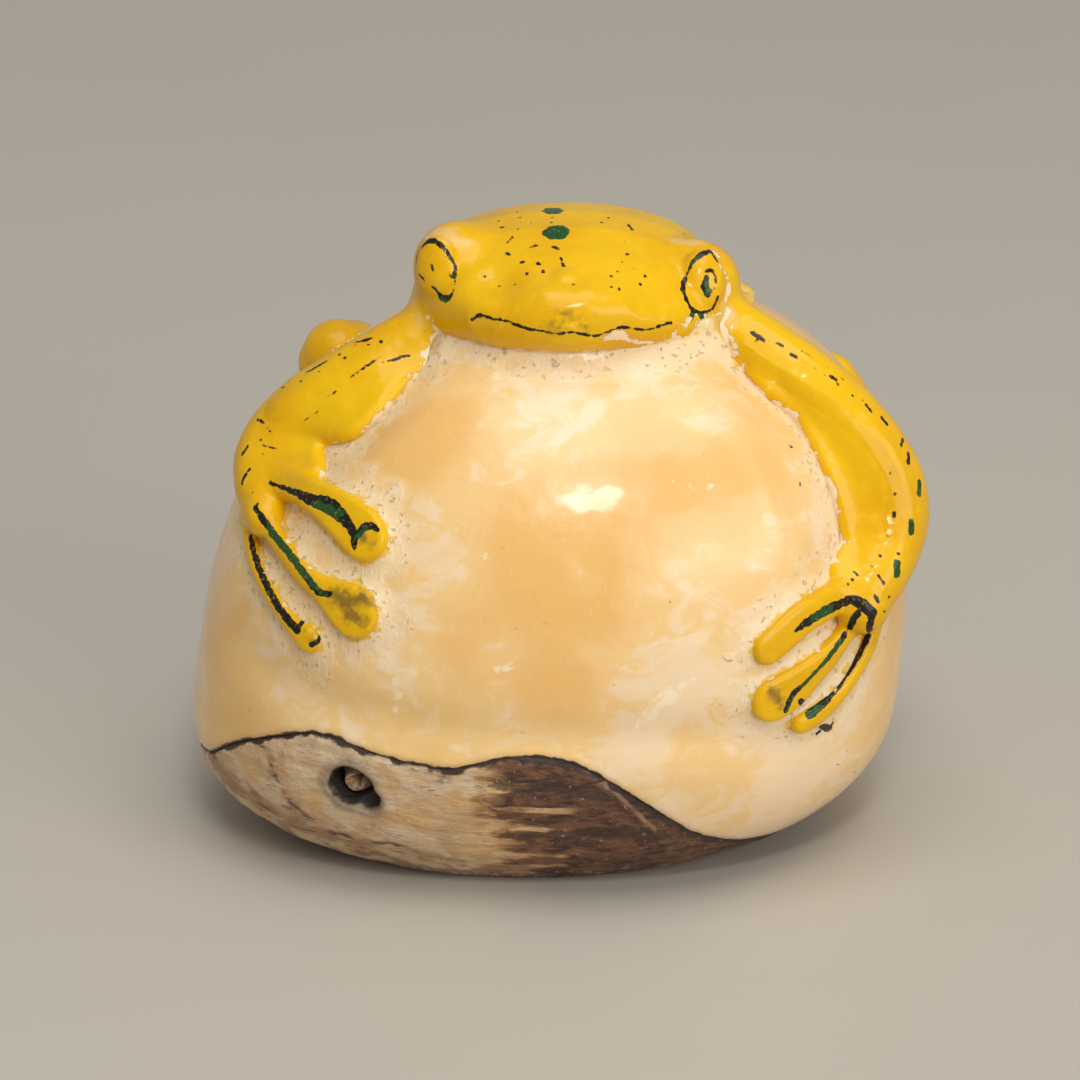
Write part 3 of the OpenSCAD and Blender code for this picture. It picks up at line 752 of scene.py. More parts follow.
def nearest_part(points):
    """The number of the part in PARTS that each point is nearest to."""
    apart = np.full((len(PARTS), len(points)), 9.0, np.float32)
    p = points.astype(np.float32)
    for k, (f, low, high) in enumerate(PARTS.values()):
        near = ((p > low - 1.5) & (p < high + 1.5)).all(1)
        apart[k, near] = f(p[near])
    return apart.argmin(0)


def search_tree(points, quads):
    """The mesh in a form that rays can be cast at."""
    return BVHTree.FromPolygons([tuple(v) for v in points], [tuple(q) for q in quads.tolist()])


def paint_marks(tree, points):
    """How deep each point lies in the pen marks, stains, worn places and ridges."""
    ink = [*dots(HEAD_DOTS), *dots(ARM_DOTS), *dots(BIG_SPOTS), *dots(ARM_SPOTS), MOUTH,
           RIGHT_EYE_RING, LEFT_EYE_RING, *EYE_INK, *ARM_LINES, *HAND_INK]
    green = dots(BIG_SPOTS) + dots(ARM_SPOTS) + EYE_GREEN + HAND_GREEN
    marks = {}
    for name, strokes, reach in (
            ("ink", ink, 0.6), ("green", green, 0.6), ("stain", SMUDGE + HAND_STAIN, 0.6),
            ("bare", BARE, 0.6), ("worn", WORN, 1.0), ("ridge", ARM_RIDGES, 1.3)):
        marks[name] = ink_depth(points, drawn(tree, strokes), reach)
    return marks


def build_frog(ivory_tree):
    points, quads = polygons(0.14)
    normals = vertex_normals(points, quads)
    if (normals * (points - [1, 5, 30])).sum(1).mean() < 0:
        quads = quads[:, ::-1]
        normals = -normals
    names = list(PARTS)
    owner = nearest_part(points)
    level = nut_height(points)
    marks = paint_marks(search_tree(points, quads), points)
    # The paint runs further down the hands, so no ivory shows along their edges.
    on_hand = np.array([name.endswith("hand") for name in names])[owner]
    marks["ground"] = reach_to(ivory_tree, points, level) + 0.25 * on_hand
    sunk = level < -1.6
    face_owner = owner[quads[:, 0]]
    kept = ~sunk[quads].all(1)
    pieces = {}
    for k, name in enumerate(names):
        chosen = quads[(face_owner == k) & kept]
        used, local = np.unique(chosen, return_inverse=True)
        piece = make_piece(
            name + "_skin", points[used], local.reshape(chosen.shape),
            normals[used],
            {key: values[used] for key, values in marks.items()})
        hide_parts(name)
        pieces[name] = piece
    return pieces


# ---------------------------------------------------------------- the nut's pieces

# The shallow hollow across the front, below the dome: angle, height.
VALLEY = [(-62, 14.5), (-45, 13.6), (-30, 12.6), (-10, 11.9), (10, 11.8), (25, 11.3), (36, 10.2)]


def skin_relief(points, angle, z, limb, chin, arm, hand):
    """How far the carved ivory stands out from the plain nut, in mm. The limb,
    chin, arm and hand give the distance to the nearest of each."""
    near = np.clip(limb, 0, 2)
    fillet = 0.3 - np.sqrt(np.maximum(0.3 ** 2 - (0.3 - np.minimum(near, 0.3)) ** 2, 0))
    valley = np.interp(angle, *np.array(VALLEY).T)
    dome = step(-4, 1, z - valley) * step(75, 60, np.abs(angle))
    lift = fillet * 0.6 - 0.15 * np.exp(-(limb / 1.5) ** 2)
    lift -= dome * 0.6 * np.exp(-(arm / 2.4) ** 2)
    lift += 0.22 * np.exp(-(hand / 0.7) ** 2)
    lift *= step(0.5, 3, chin)
    lift += 0.8 * (2.2 - np.sqrt(np.maximum(2.2 ** 2 - (2.2 - np.minimum(chin, 2.2)) ** 2, 0)))
    inside = step(-70, -50, angle) * step(48, 34, angle)
    lift -= inside * 0.45 * np.exp(-((z - valley) / 1.7) ** 2)
    lift -= 0.08 * np.exp(-(arm / 0.3) ** 2)
    lift += 0.05 * rough(points, 5, 11) + 0.012 * rough(points, 0.9, 12)
    scraped = step(3.0, 0.5, limb)
    lift += scraped * 0.03 * rough(points * [1, 1, 2.5], 0.7, 13)
    return lift


def pore_axes():
    """The pore's mouth, with its outward, sideways (to the right) and upward directions."""
    out = np.array([sin(radians(PORE[0])), -cos(radians(PORE[0])), -0.24])
    out = out / np.linalg.norm(out)
    side = np.cross([0, 0, 1], out)
    side = -side / np.linalg.norm(side) if side[0] < 0 else side / np.linalg.norm(side)
    return on_nut(*PORE), out, side, np.cross(out, side) * np.sign(np.cross(out, side)[2])


def pore_place(points):
    """Ragged distance from the pore's middle, distance from the small notch at
    its lower right, and height above its mouth."""
    centre, out, side, up = pore_axes()
    flat = points - centre
    x, y = flat @ side, flat @ up
    ragged = np.hypot(x, y * 1.05) * (1 + 0.06 * noise(points, 0.9, 41))
    return ragged, np.hypot(x - 0.95, y + 1.0), flat @ out


def pore_distance(points):
    """Distance from the pore's middle, pulled out towards its notch, in mm."""
    ragged, notch, above = pore_place(points)
    far = np.abs(above) > 6
    return np.minimum(np.where(far, 9, ragged), notch + 0.75 + 9 * far)


def pore_pit(points, depth, radius):
    """How far the germ pore's pit sinks each point, in mm."""
    ragged, notch, above = pore_place(points)
    pit = depth * step(radius * 1.12, radius * 0.8, ragged)
    pit = np.maximum(pit, 0.7 * step(1.15, 0.3, notch))
    return pit * (above > -4)


def rings_to_quads(rows, columns):
    """Quads between rings of points, each ring closed on itself."""
    i, j = np.meshgrid(np.arange(rows - 1), np.arange(columns), indexing="ij")
    a = i * columns + j
    b = i * columns + (j + 1) % columns
    return np.stack([a, b, b + columns, a + columns], -1).reshape(-1, 4)


def ivory_grid(columns, rows):
    """A grid over the plain nut from just under the coat to the top, with angles."""
    a = np.linspace(-180, 180, columns, endpoint=False)
    t = np.linspace(0, 1, rows)
    level = np.sin(t * pi / 2) ** 1.15
    angle = np.broadcast_to(a, (rows, columns))
    low = np.maximum(edge_level(angle) - 2.0, 0.9)
    z = low + (NUT[2] - 0.02 - low) * level[:, None]
    return on_nut(angle, z), angle, z


def build_ivory():
    columns, rows = ((560, 300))
    grid, angle, z = ivory_grid(columns, rows)
    normal = normals_of(grid)
    flat = grid.reshape(-1, 3).astype(np.float32)
    limb, chin, arm, hand = (
        frog_distance(flat, only, REACH).reshape(rows, columns) for only in (
            None, ["frog_head"], ["left_foreleg", "right_foreleg"], ["left_hand", "right_hand"]))
    limb = np.minimum(limb, 3.3)
    chin, arm, hand = (np.clip(distance, 0, 3.3) for distance in (chin, arm, hand))
    above = z - edge_level(angle)
    lift = skin_relief(grid, angle, z, limb, chin, arm, hand)
    lift *= step(-0.3, 0.8, above)
    lift -= COAT_T * step(0.05, -0.35, above)
    lift -= 0.12 * np.exp(-(above / 0.22) ** 2)
    lift -= pore_pit(grid, 3.0, 1.75) * (above < 0.5)
    points = (grid + normal * lift[..., None]).reshape(-1, 3)
    quads = rings_to_quads(rows, columns)
    tree = search_tree(points, quads)
    marks = {
        "limb": limb.ravel(), "rim": above.ravel(), "arm": arm.ravel(),
        "speck": ink_depth(points, drawn(tree, dots(IVORY_SPECKS))),
        "chip": ink_depth(points, drawn(tree, dots(IVORY_CHIPS) + IVORY_SCRATCHES)),
        "cloud": clouds(points, IVORY_TONE_AND_PAINTED_LIGHT),
    }
    piece = make_piece("nut_ivory", points, quads, None, marks)
    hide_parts("nut_body")
    return piece, tree


# Pale clouds (above 0) and honey ones in the ivory: across, up, reach, strength.
# Partly the ivory's own clouded tone and partly painted light: pale patches painted
# where the top catches the highlight and on the lit lower right, honey ones on the
# shaded lower left.
IVORY_TONE_AND_PAINTED_LIGHT = [
    (-6, 2.5, 2.4, 0.7), (-4.4, -2.2, 2, 0.7), (-8.8, -6.3, 2.6, 0.9), (-2.5, -7.2, 1.6, 0.6),
    (10, -9.5, 3.4, 1.2), (15.8, -15, 5.5, 1.4), (20, -7.6, 3, 0.8), (6.3, -13.9, 3.4, 1),
    (-3, -11.5, 3, 0.5), (1.3, 7.6, 3.6, 0.8), (10, 8.8, 2.6, 0.7), (6.3, -1.3, 1.6, 0.4),
    (18.5, 1.5, 2.2, 0.8), (2.5, -2.5, 1.4, 0.9), (-11, -13, 3, 0.4),
    (-13.5, 5, 1.6, 0.6), (3.8, -3.8, 3.4, -0.9), (0, -0.8, 3, -0.8), (7, 3.4, 2.4, -0.5),
    (14.3, 4.4, 2.4, -0.6), (-6.6, 6.6, 3, -0.9), (-10.4, 6.3, 2, -0.7), (-18.3, -9.5, 5, -0.6),
    (1.3, -10, 2.8, -0.6), (-12.3, -10.5, 2.6, -0.5), (-15, -1, 2.2, -0.3), (21, -13, 2, -0.4),
]


def clouds(points, table):
    """Soft patches placed on the card, added up at each point."""
    total = np.zeros(len(points), np.float32)
    for x, h, reach, strength in table:
        away = np.linalg.norm(points - on_card(x, h), axis=1)
        total += strength * np.exp(-(away / reach) ** 2)
    return total


# Dark specks, then pale chips and scratches, in the ivory.
IVORY_SPECKS = [
    (18.8, -14.1, 0.1), (19.8, -14.6, 0.12), (19.3, -13.2, 0.09), (17.6, -17.5, 0.09),
    (13.6, -14.8, 0.08), (15.8, 5.9, 0.12), (16.4, 3.5, 0.1), (8.1, -3.9, 0.08),
    (18, -11.8, 0.24, 0.5, -0.1), (18.4, -11.6, 0.16), (17.4, -12.2, 0.1, 0.4, 0.1),
]
IVORY_CHIPS = [
    (8.5, 3.6, 0.13), (10.5, 4.1, 0.12), (10.8, 3.4, 0.16), (9.6, 3.4, 0.1), (11, 6.6, 0.11),
    (-2.2, -8.1, 0.16, 0.9, 0.1), (-3.4, -1, 0.12),
]
IVORY_SCRATCHES = [
    [[9.6, -8.8, 0.2], [8.6, -9.6, 0.35], [7.6, -10.5, 0.3], [6.2, -11.7, 0.15]],
    [[8.2, -9.2, 0.1], [7.2, -10.1, 0.14], [6.6, -10.9, 0.08]],
    [[-9.2, -8.5, 0.12], [-8.9, -10, 0.2], [-9.4, -11, 0.1]],
]


def coat_relief(grid, angle, z, below):
    """How far the seed coat's surface stands out from the plain nut, in mm."""
    slant = np.stack([grid[..., 0] * 0.35 + grid[..., 2] * 0.25, grid[..., 1] * 0.35,
                      grid[..., 2] * 1.3 - grid[..., 0] * 0.5 * step(-30, 0, angle)], -1)
    lift = 0.1 * rough(slant, 0.8, 21) + 0.05 * rough(grid, 0.9, 24) + 0.12 * rough(grid, 3.5, 27)
    crest = 0.3 + np.clip(angle - 3, 0, 20) * 0.09
    lift = lift + 0.12 * np.exp(-((below - crest) / 0.3) ** 2) * step(2, 6, angle) * step(40, 24, angle)
    lift = lift * step(0.0, 0.5, below) - 0.2 * step(0.25, 0.0, below)
    lift = np.where(z < 0.3, np.minimum(lift, 0), lift)
    lift = lift + 0.16 * np.exp(-((pore_distance(grid) - 1.75) / 0.35) ** 2)
    return lift - pore_pit(grid, 2.2, 1.3)


def build_coat():
    columns, rows = ((760, 100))
    under_rows = 12
    a = np.linspace(-180, 180, columns, endpoint=False)
    share = np.linspace(0, 1, rows)
    angle = np.broadcast_to(a, (rows, columns))
    top = edge_level(angle)
    z = top * share[:, None]
    below = top - z
    grid = on_nut(angle, z)
    normal = normals_of(grid)
    grid = grid + normal * coat_relief(grid, angle, z, below)[..., None]
    grid[..., 2] = np.maximum(grid[..., 2], 0)
    lip = grid[-1] - normal[-1] * 0.5
    middle = np.broadcast_to(grid[0].mean(0) * [1, 1, 0], (1, columns, 3))
    under = middle + (grid[:1] - middle) * np.linspace(0.02, 0.98, under_rows)[:, None, None]
    under[..., 2] = 0
    full = np.concatenate([under, grid, lip[None]])
    below = np.concatenate([np.full((under_rows, columns), 9.0), below, np.full((1, columns), -0.2)])
    angle = np.broadcast_to(a, below.shape)
    dark = step(-14, 6, angle - 0.3 * np.minimum(below, 8)) * step(150, 120, angle)
    points = full.reshape(-1, 3)
    faces = rings_to_quads(len(full), columns)
    tree = search_tree(points, faces)
    marks = {
        "below": below.ravel(), "dark": dark.ravel(),
        "pore": np.minimum(pore_distance(full), 8).ravel(), "level": full[..., 2].ravel(),
        "cloud": clouds(points, COAT_CLOUDS),
        "crest": ink_depth(points, drawn(tree, [COAT_CREST]), 1.0),
        "char": ink_depth(points, drawn(tree, COAT_DARK), 1.0),
    }
    piece = make_piece("seed_coat_skin", points, faces, None, marks)
    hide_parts("seed_coat")
    return piece


# Dark patches (above 0) and pale golden ones in the coat, laid out like the ivory's patches.
COAT_CLOUDS = [
    (-20.6, -13.6, 1.3, 1), (-19.4, -15.3, 1.3, 1), (-17.4, -16.6, 1.2, 1), (-15.6, -17.8, 1.2, 0.9),
    (-13.6, -18.5, 1.2, 0.9), (-11.4, -19.1, 1.2, 0.8), (-8.6, -19.5, 1, 0.7),
    (-17, -13.5, 0.5, 0.8), (-16.8, -14.7, 0.5, 0.8), (-16.1, -15.9, 0.5, 0.8), (-15.5, -16.9, 0.6, 0.8),
    (-18.4, -13.7, 0.9, -0.5), (-18, -15, 0.8, -0.6), (-14.2, -16.4, 1.2, -0.7), (-9.8, -15.4, 1.3, -0.4),
    (-8, -17.6, 1.5, -1), (-5.2, -14.4, 0.8, -0.8), (-3.6, -19.2, 1.4, -0.8), (-4.6, -16.6, 1.2, -0.9),
    (-1.6, -18.6, 1.1, -0.8), (0.2, -18.9, 0.8, -0.8), (-2.6, -15.4, 0.9, -0.6),
    (-4, -15.7, 0.5, 0.6), (-10.4, -18.4, 0.8, 0.4), (-6.6, -16, 0.5, 0.5), (-6.2, -18.6, 0.5, 0.5),
]
# The pale line along a low crest just below the coat's edge, right of the middle.
COAT_CREST = [[2.4, -14.1, 0.05], [4.2, -15.4, 0.1], [5.8, -16.9, 0.1], [7.3, -18.3, 0.05]]
# The dark notch in the coat's edge, and dark patches in the wood below it.
COAT_DARK = [
    [[-8.6, -14, 0.1], [-7.2, -14.5, 0.16], [-6.2, -14.9, 0.36], [-5.4, -14.6, 0.16]],
    [[-17.6, -12.8, 0.05], [-17.1, -13.8, 0.1], [-16.6, -15, 0.1], [-16, -16.2, 0.15], [-15.2, -17, 0.2]],
    [[-15.2, -17, 0.15], [-14, -18, 0.1], [-12.4, -18.6, 0.12], [-10.4, -19, 0.1], [-8.4, -19.3, 0.05]],
    [[-20.4, -13, 0.05], [-19.6, -14.6, 0.1], [-18.2, -15.8, 0.1], [-16.6, -16.8, 0.1]],
    [[-18.8, -12.6, 0.05], [-17.9, -12.9, 0.1], [-17.2, -13.4, 0.08]],
    [[-3.4, -15.4, 0.3], [-1, -15.8, 0.5], [1.5, -15.6, 0.6], [4, -16.3, 0.6]],
    [[-2.5, -18.6, 0.4], [0.5, -18.6, 0.6], [4, -18.4, 0.6], [8, -18.6, 0.5]],
]


def build_plug():
    """The dry plug in the pore: a low mound with a curled rim and a hollow."""
    centre, out, side, up = pore_axes()
    centre = centre - 0.2 * side - 0.2 * up
    rows, columns = 44, 110
    share = np.linspace(0.02, 1, rows)[:, None]
    turn = np.linspace(0, 2 * pi, columns, endpoint=False)[None]
    r = 1.02 * share * (1 + 0.1 * np.sin(3 * turn + 1))
    x, y = r * np.cos(turn), r * np.sin(turn)
    base = centre + x[..., None] * side + y[..., None] * up
    hollow = 0.7 * np.exp(-((x - 0.35) ** 2 + (y - 0.3) ** 2) / 0.12)
    curl = 0.35 * np.exp(-((np.hypot(x, y) - 0.55) / 0.2) ** 2)
    height = 0.5 * (1 - share ** 2) + curl - hollow + 0.14 * rough(base, 0.35, 51) - 1.25
    grid = base + height[..., None] * out
    piece = make_piece("germ_plug_fibre", grid.reshape(-1, 3), rings_to_quads(rows, columns),
                       None, {"high": height.ravel()})
    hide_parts("germ_plug")
    return piece


# ---------------------------------------------------------------- materials

class Nodes:
    """A short way to write a material's nodes."""

    def __init__(self, name):
        self.material = bpy.data.materials.new(name)
        self.material.use_nodes = True
        self.tree = self.material.node_tree
        self.tree.nodes.clear()
        self.out = self.tree.nodes.new("ShaderNodeOutputMaterial")
        self.shader = self.tree.nodes.new("ShaderNodeBsdfPrincipled")
        self.tree.links.new(self.shader.outputs[0], self.out.inputs[0])
        coordinates = self.tree.nodes.new("ShaderNodeTexCoord")
        scale = self.tree.nodes.new("ShaderNodeVectorMath")
        scale.operation = "SCALE"
        scale.inputs["Scale"].default_value = 1000
        self.tree.links.new(coordinates.outputs["Object"], scale.inputs[0])
        self.place = scale.outputs[0]

    def put(self, socket, value):
        """Link a socket to another, or set its value, filling out single numbers and RGB."""
        if hasattr(value, "links"):
            self.tree.links.new(value, socket)
        elif hasattr(socket.default_value, "__len__") and not hasattr(value, "__len__"):
            socket.default_value = [value] * len(socket.default_value)
        elif hasattr(value, "__len__") and len(value) == 3 and len(socket.default_value) == 4:
            socket.default_value = (*value, 1)
        else:
            socket.default_value = value

    def mark(self, name):
        """A value stored on the mesh's points."""
        node = self.tree.nodes.new("ShaderNodeAttribute")
        node.attribute_name = name
        return node.outputs["Fac"]

    def stretched(self, scale, turn=(0, 0, 0), source=None):
        node = self.tree.nodes.new("ShaderNodeMapping")
        self.put(node.inputs["Vector"], source or self.place)
        node.inputs["Scale"].default_value = scale
        node.inputs["Rotation"].default_value = [radians(t) for t in turn]
        return node.outputs[0]

    def noise(self, scale, detail=3, source=None, roughness=0.5, warp=0.0):
        node = self.tree.nodes.new("ShaderNodeTexNoise")
        self.put(node.inputs["Vector"], source or self.place)
        node.inputs["Scale"].default_value = scale
        node.inputs["Detail"].default_value = detail
        node.inputs["Roughness"].default_value = roughness
        node.inputs["Distortion"].default_value = warp
        return node.outputs["Fac"]

    def math(self, operation, a, b=0.0):
        node = self.tree.nodes.new("ShaderNodeMath")
        node.operation = operation
        self.put(node.inputs[0], a)
        self.put(node.inputs[1], b)
        return node.outputs[0]

    def add(self, a, b):
        return self.math("ADD", a, b)

    def less(self, a, b):
        return self.math("SUBTRACT", a, b)

    def times(self, a, b):
        return self.math("MULTIPLY", a, b)

    def span(self, value, low, high, to_low=0.0, to_high=1.0):
        """The value's range low to high, eased onto the range to_low to to_high."""
        node = self.tree.nodes.new("ShaderNodeMapRange")
        node.interpolation_type = "SMOOTHSTEP"
        for key, v in zip(("Value", "From Min", "From Max", "To Min", "To Max"),
                          (value, low, high, to_low, to_high)):
            self.put(node.inputs[key], v)
        return node.outputs[0]

    def frayed(self, value, noise, to_low, to_high):
        """The value with noise added to it, so that a mark's edge wanders."""
        return self.add(value, self.span(noise, 0.3, 0.7, to_low, to_high))

    def blend(self, amount, a, b):
        node = self.tree.nodes.new("ShaderNodeMix")
        node.data_type = "RGBA"
        self.put(node.inputs[0], amount)
        self.put(node.inputs[6], a)
        self.put(node.inputs[7], b)
        return node.outputs[2]

    def bump(self, height, depth):
        node = self.tree.nodes.new("ShaderNodeBump")
        node.inputs["Strength"].default_value = 1
        node.inputs["Distance"].default_value = depth / 1000
        self.put(node.inputs["Height"], height)
        return node.outputs[0]

    def finish(self, **sockets):
        for key, value in sockets.items():
            self.put(self.shader.inputs[key.replace("_", " ")], value)
        return self.material


IVORY = (0.9, 0.6, 0.25)
IVORY_PALE = (0.92, 0.7, 0.45)
IVORY_DEEP = (0.85, 0.5, 0.16)


def yellow_paint():
    n = Nodes("yellow paint with ink")
    cloud = n.noise(0.16, 3)
    fine = n.noise(1.6, 4)
    colour = n.blend(n.span(cloud, 0.35, 0.7), (0.84, 0.49, 0.002), (0.76, 0.4, 0.001))
    colour = n.blend(n.span(fine, 0.5, 0.75, 0, 0.35), colour, (0.9, 0.57, 0.006))
    stain = n.span(n.frayed(n.mark("stain"), n.noise(1.8, 5), -0.45, 0.3), -0.4, 0.7)
    colour = n.blend(n.times(stain, 0.85), colour, (0.2, 0.12, 0.02))
    ink = n.span(n.frayed(n.mark("ink"), n.noise(2.6, 4), -0.06, 0.04), -0.01, 0.04)
    ink = n.times(ink, n.span(n.noise(5.5, 2), 0.25, 0.45, 0.72, 1))
    green = n.span(n.frayed(n.mark("green"), n.noise(2.6, 3), -0.14, 0.14), -0.03, 0.05)
    dark = n.blend(green, (0.008, 0.009, 0.006), (0.012, 0.075, 0.022))
    colour = n.blend(ink, colour, dark)
    ragged = n.less(n.mark("ground"), n.span(n.noise(1.1, 4), 0.42, 0.72, 0, 0.5))
    rubbed = n.frayed(n.mark("bare"), n.noise(1.7, 5, None, 0.65), -0.22, 0.14)
    bare = n.math("MAXIMUM", n.span(ragged, 0.05, -0.02), n.span(rubbed, -0.02, 0.05))
    thin = n.span(n.frayed(n.mark("worn"), n.noise(0.9, 4), -0.5, 0.3), -0.4, 0.5, 0, 0.55)
    colour = n.blend(n.times(thin, n.less(1.0, ink)), colour, (0.83, 0.58, 0.27))
    colour = n.blend(bare, colour, IVORY_PALE)
    height = n.add(n.noise(0.9, 3), n.times(n.noise(5, 2), 0.08))
    height = n.add(height, n.times(n.math("MAXIMUM", n.mark("ridge"), -1.0), 3.0))
    height = n.less(height, n.times(bare, 0.8))
    return n.finish(
        Base_Color=colour, Normal=n.bump(height, 0.06),
        Roughness=n.span(fine, 0.3, 0.7, 0.26, 0.4), Specular_IOR_Level=0.16,
        Coat_Weight=0.28, Coat_Roughness=0.05)


def ivory():
    n = Nodes("polished vegetable ivory")
    drift = n.noise(0.12, 4, warp=0.6)
    # The cloud mark carries the ivory's own tone together with painted highlight and painted shade.
    cloud = n.frayed(n.mark("cloud"), drift, -0.7, 0.7)
    colour = n.blend(n.span(cloud, 0.3, -1.0), IVORY, IVORY_DEEP)
    milky = n.noise(0.35, 5, n.stretched((1, 1, 1.5), (20, 15, 30)), 0.6, 1.0)
    pale = n.add(cloud, n.span(milky, 0.32, 0.68, -0.75, 0.75))
    colour = n.blend(n.span(pale, 0.0, 1.3, 0, 0.95), colour, IVORY_PALE)
    limb = n.frayed(n.mark("limb"), n.noise(0.6, 4), -0.9, 0.9)
    scraped = n.span(limb, 2.2, 0.5)
    colour = n.blend(n.times(scraped, 0.6), colour, (0.93, 0.74, 0.48))
    fibre = n.noise(1.1, 5, n.stretched((4.5, 4.5, 0.6), (0, 35, 20)), 0.65)
    colour = n.blend(n.times(n.span(fibre, 0.56, 0.72), n.span(scraped, 0, 1, 0.14, 0.8)),
                     colour, (0.97, 0.85, 0.66))
    pits = n.span(n.noise(2.6, 4), 0.6, 0.7)
    colour = n.blend(n.times(n.times(pits, scraped), 0.45), colour, (0.62, 0.36, 0.16))
    ragged = n.noise(1.6, 5, n.stretched((1, 1, 1), (0, 40, 0)), 0.7)
    chip = n.span(n.frayed(n.mark("chip"), ragged, -0.35, 0.2), -0.16, 0.14, 0, 0.75)
    colour = n.blend(chip, colour, (0.96, 0.82, 0.6))
    bleed = n.less(n.mark("limb"), n.span(n.noise(1.4, 4), 0.4, 0.7, -0.1, 0.4))
    colour = n.blend(n.span(bleed, 0.08, -0.06, 0, 0.85), colour, (0.85, 0.52, 0.04))
    # Painted shade: a darker brown band along the crease where the arms meet the nut.
    arm_crease_shade = n.less(n.mark("arm"), n.span(n.noise(0.5, 3), 0.45, 0.65, 0.0, 0.5))
    colour = n.blend(n.span(arm_crease_shade, 0.15, -0.25, 0, 0.35), colour, (0.5, 0.29, 0.12))
    speck = n.span(n.frayed(n.mark("speck"), n.noise(4, 2), -0.06, 0.06), -0.02, 0.03)
    colour = n.blend(speck, colour, (0.05, 0.03, 0.015))
    dust = n.span(n.noise(1.2, 2), 0.74, 0.78)
    colour = n.blend(n.times(dust, 0.35), colour, (0.5, 0.3, 0.14))
    # A browner band just above the coat's edge, then a painted shadow: a near-black line at the edge,
    # where the coat's step shades the ivory.
    rim = n.frayed(n.mark("rim"), n.noise(0.9, 3), -0.12, 0.12)
    colour = n.blend(n.span(rim, 0.8, 0.1, 0, 0.35), colour, (0.6, 0.33, 0.13))
    colour = n.blend(n.span(rim, 0.2, 0.06), colour, (0.055, 0.028, 0.014))
    rough_part = n.math("MAXIMUM", n.times(scraped, 0.6), chip)
    height = n.add(n.times(fibre, scraped), n.times(n.noise(0.5, 3), 0.9))
    height = n.less(height, n.times(pits, scraped))
    return n.finish(
        Base_Color=colour, Normal=n.bump(height, 0.09),
        Roughness=n.span(rough_part, 0, 1, 0.3, 0.6), Specular_IOR_Level=0.35,
        Coat_Weight=n.span(rough_part, 0, 1, 0.4, 0.1), Coat_Roughness=0.12,
        Subsurface_Weight=0.15, Subsurface_Radius=(1.6, 0.8, 0.35), Subsurface_Scale=0.001)


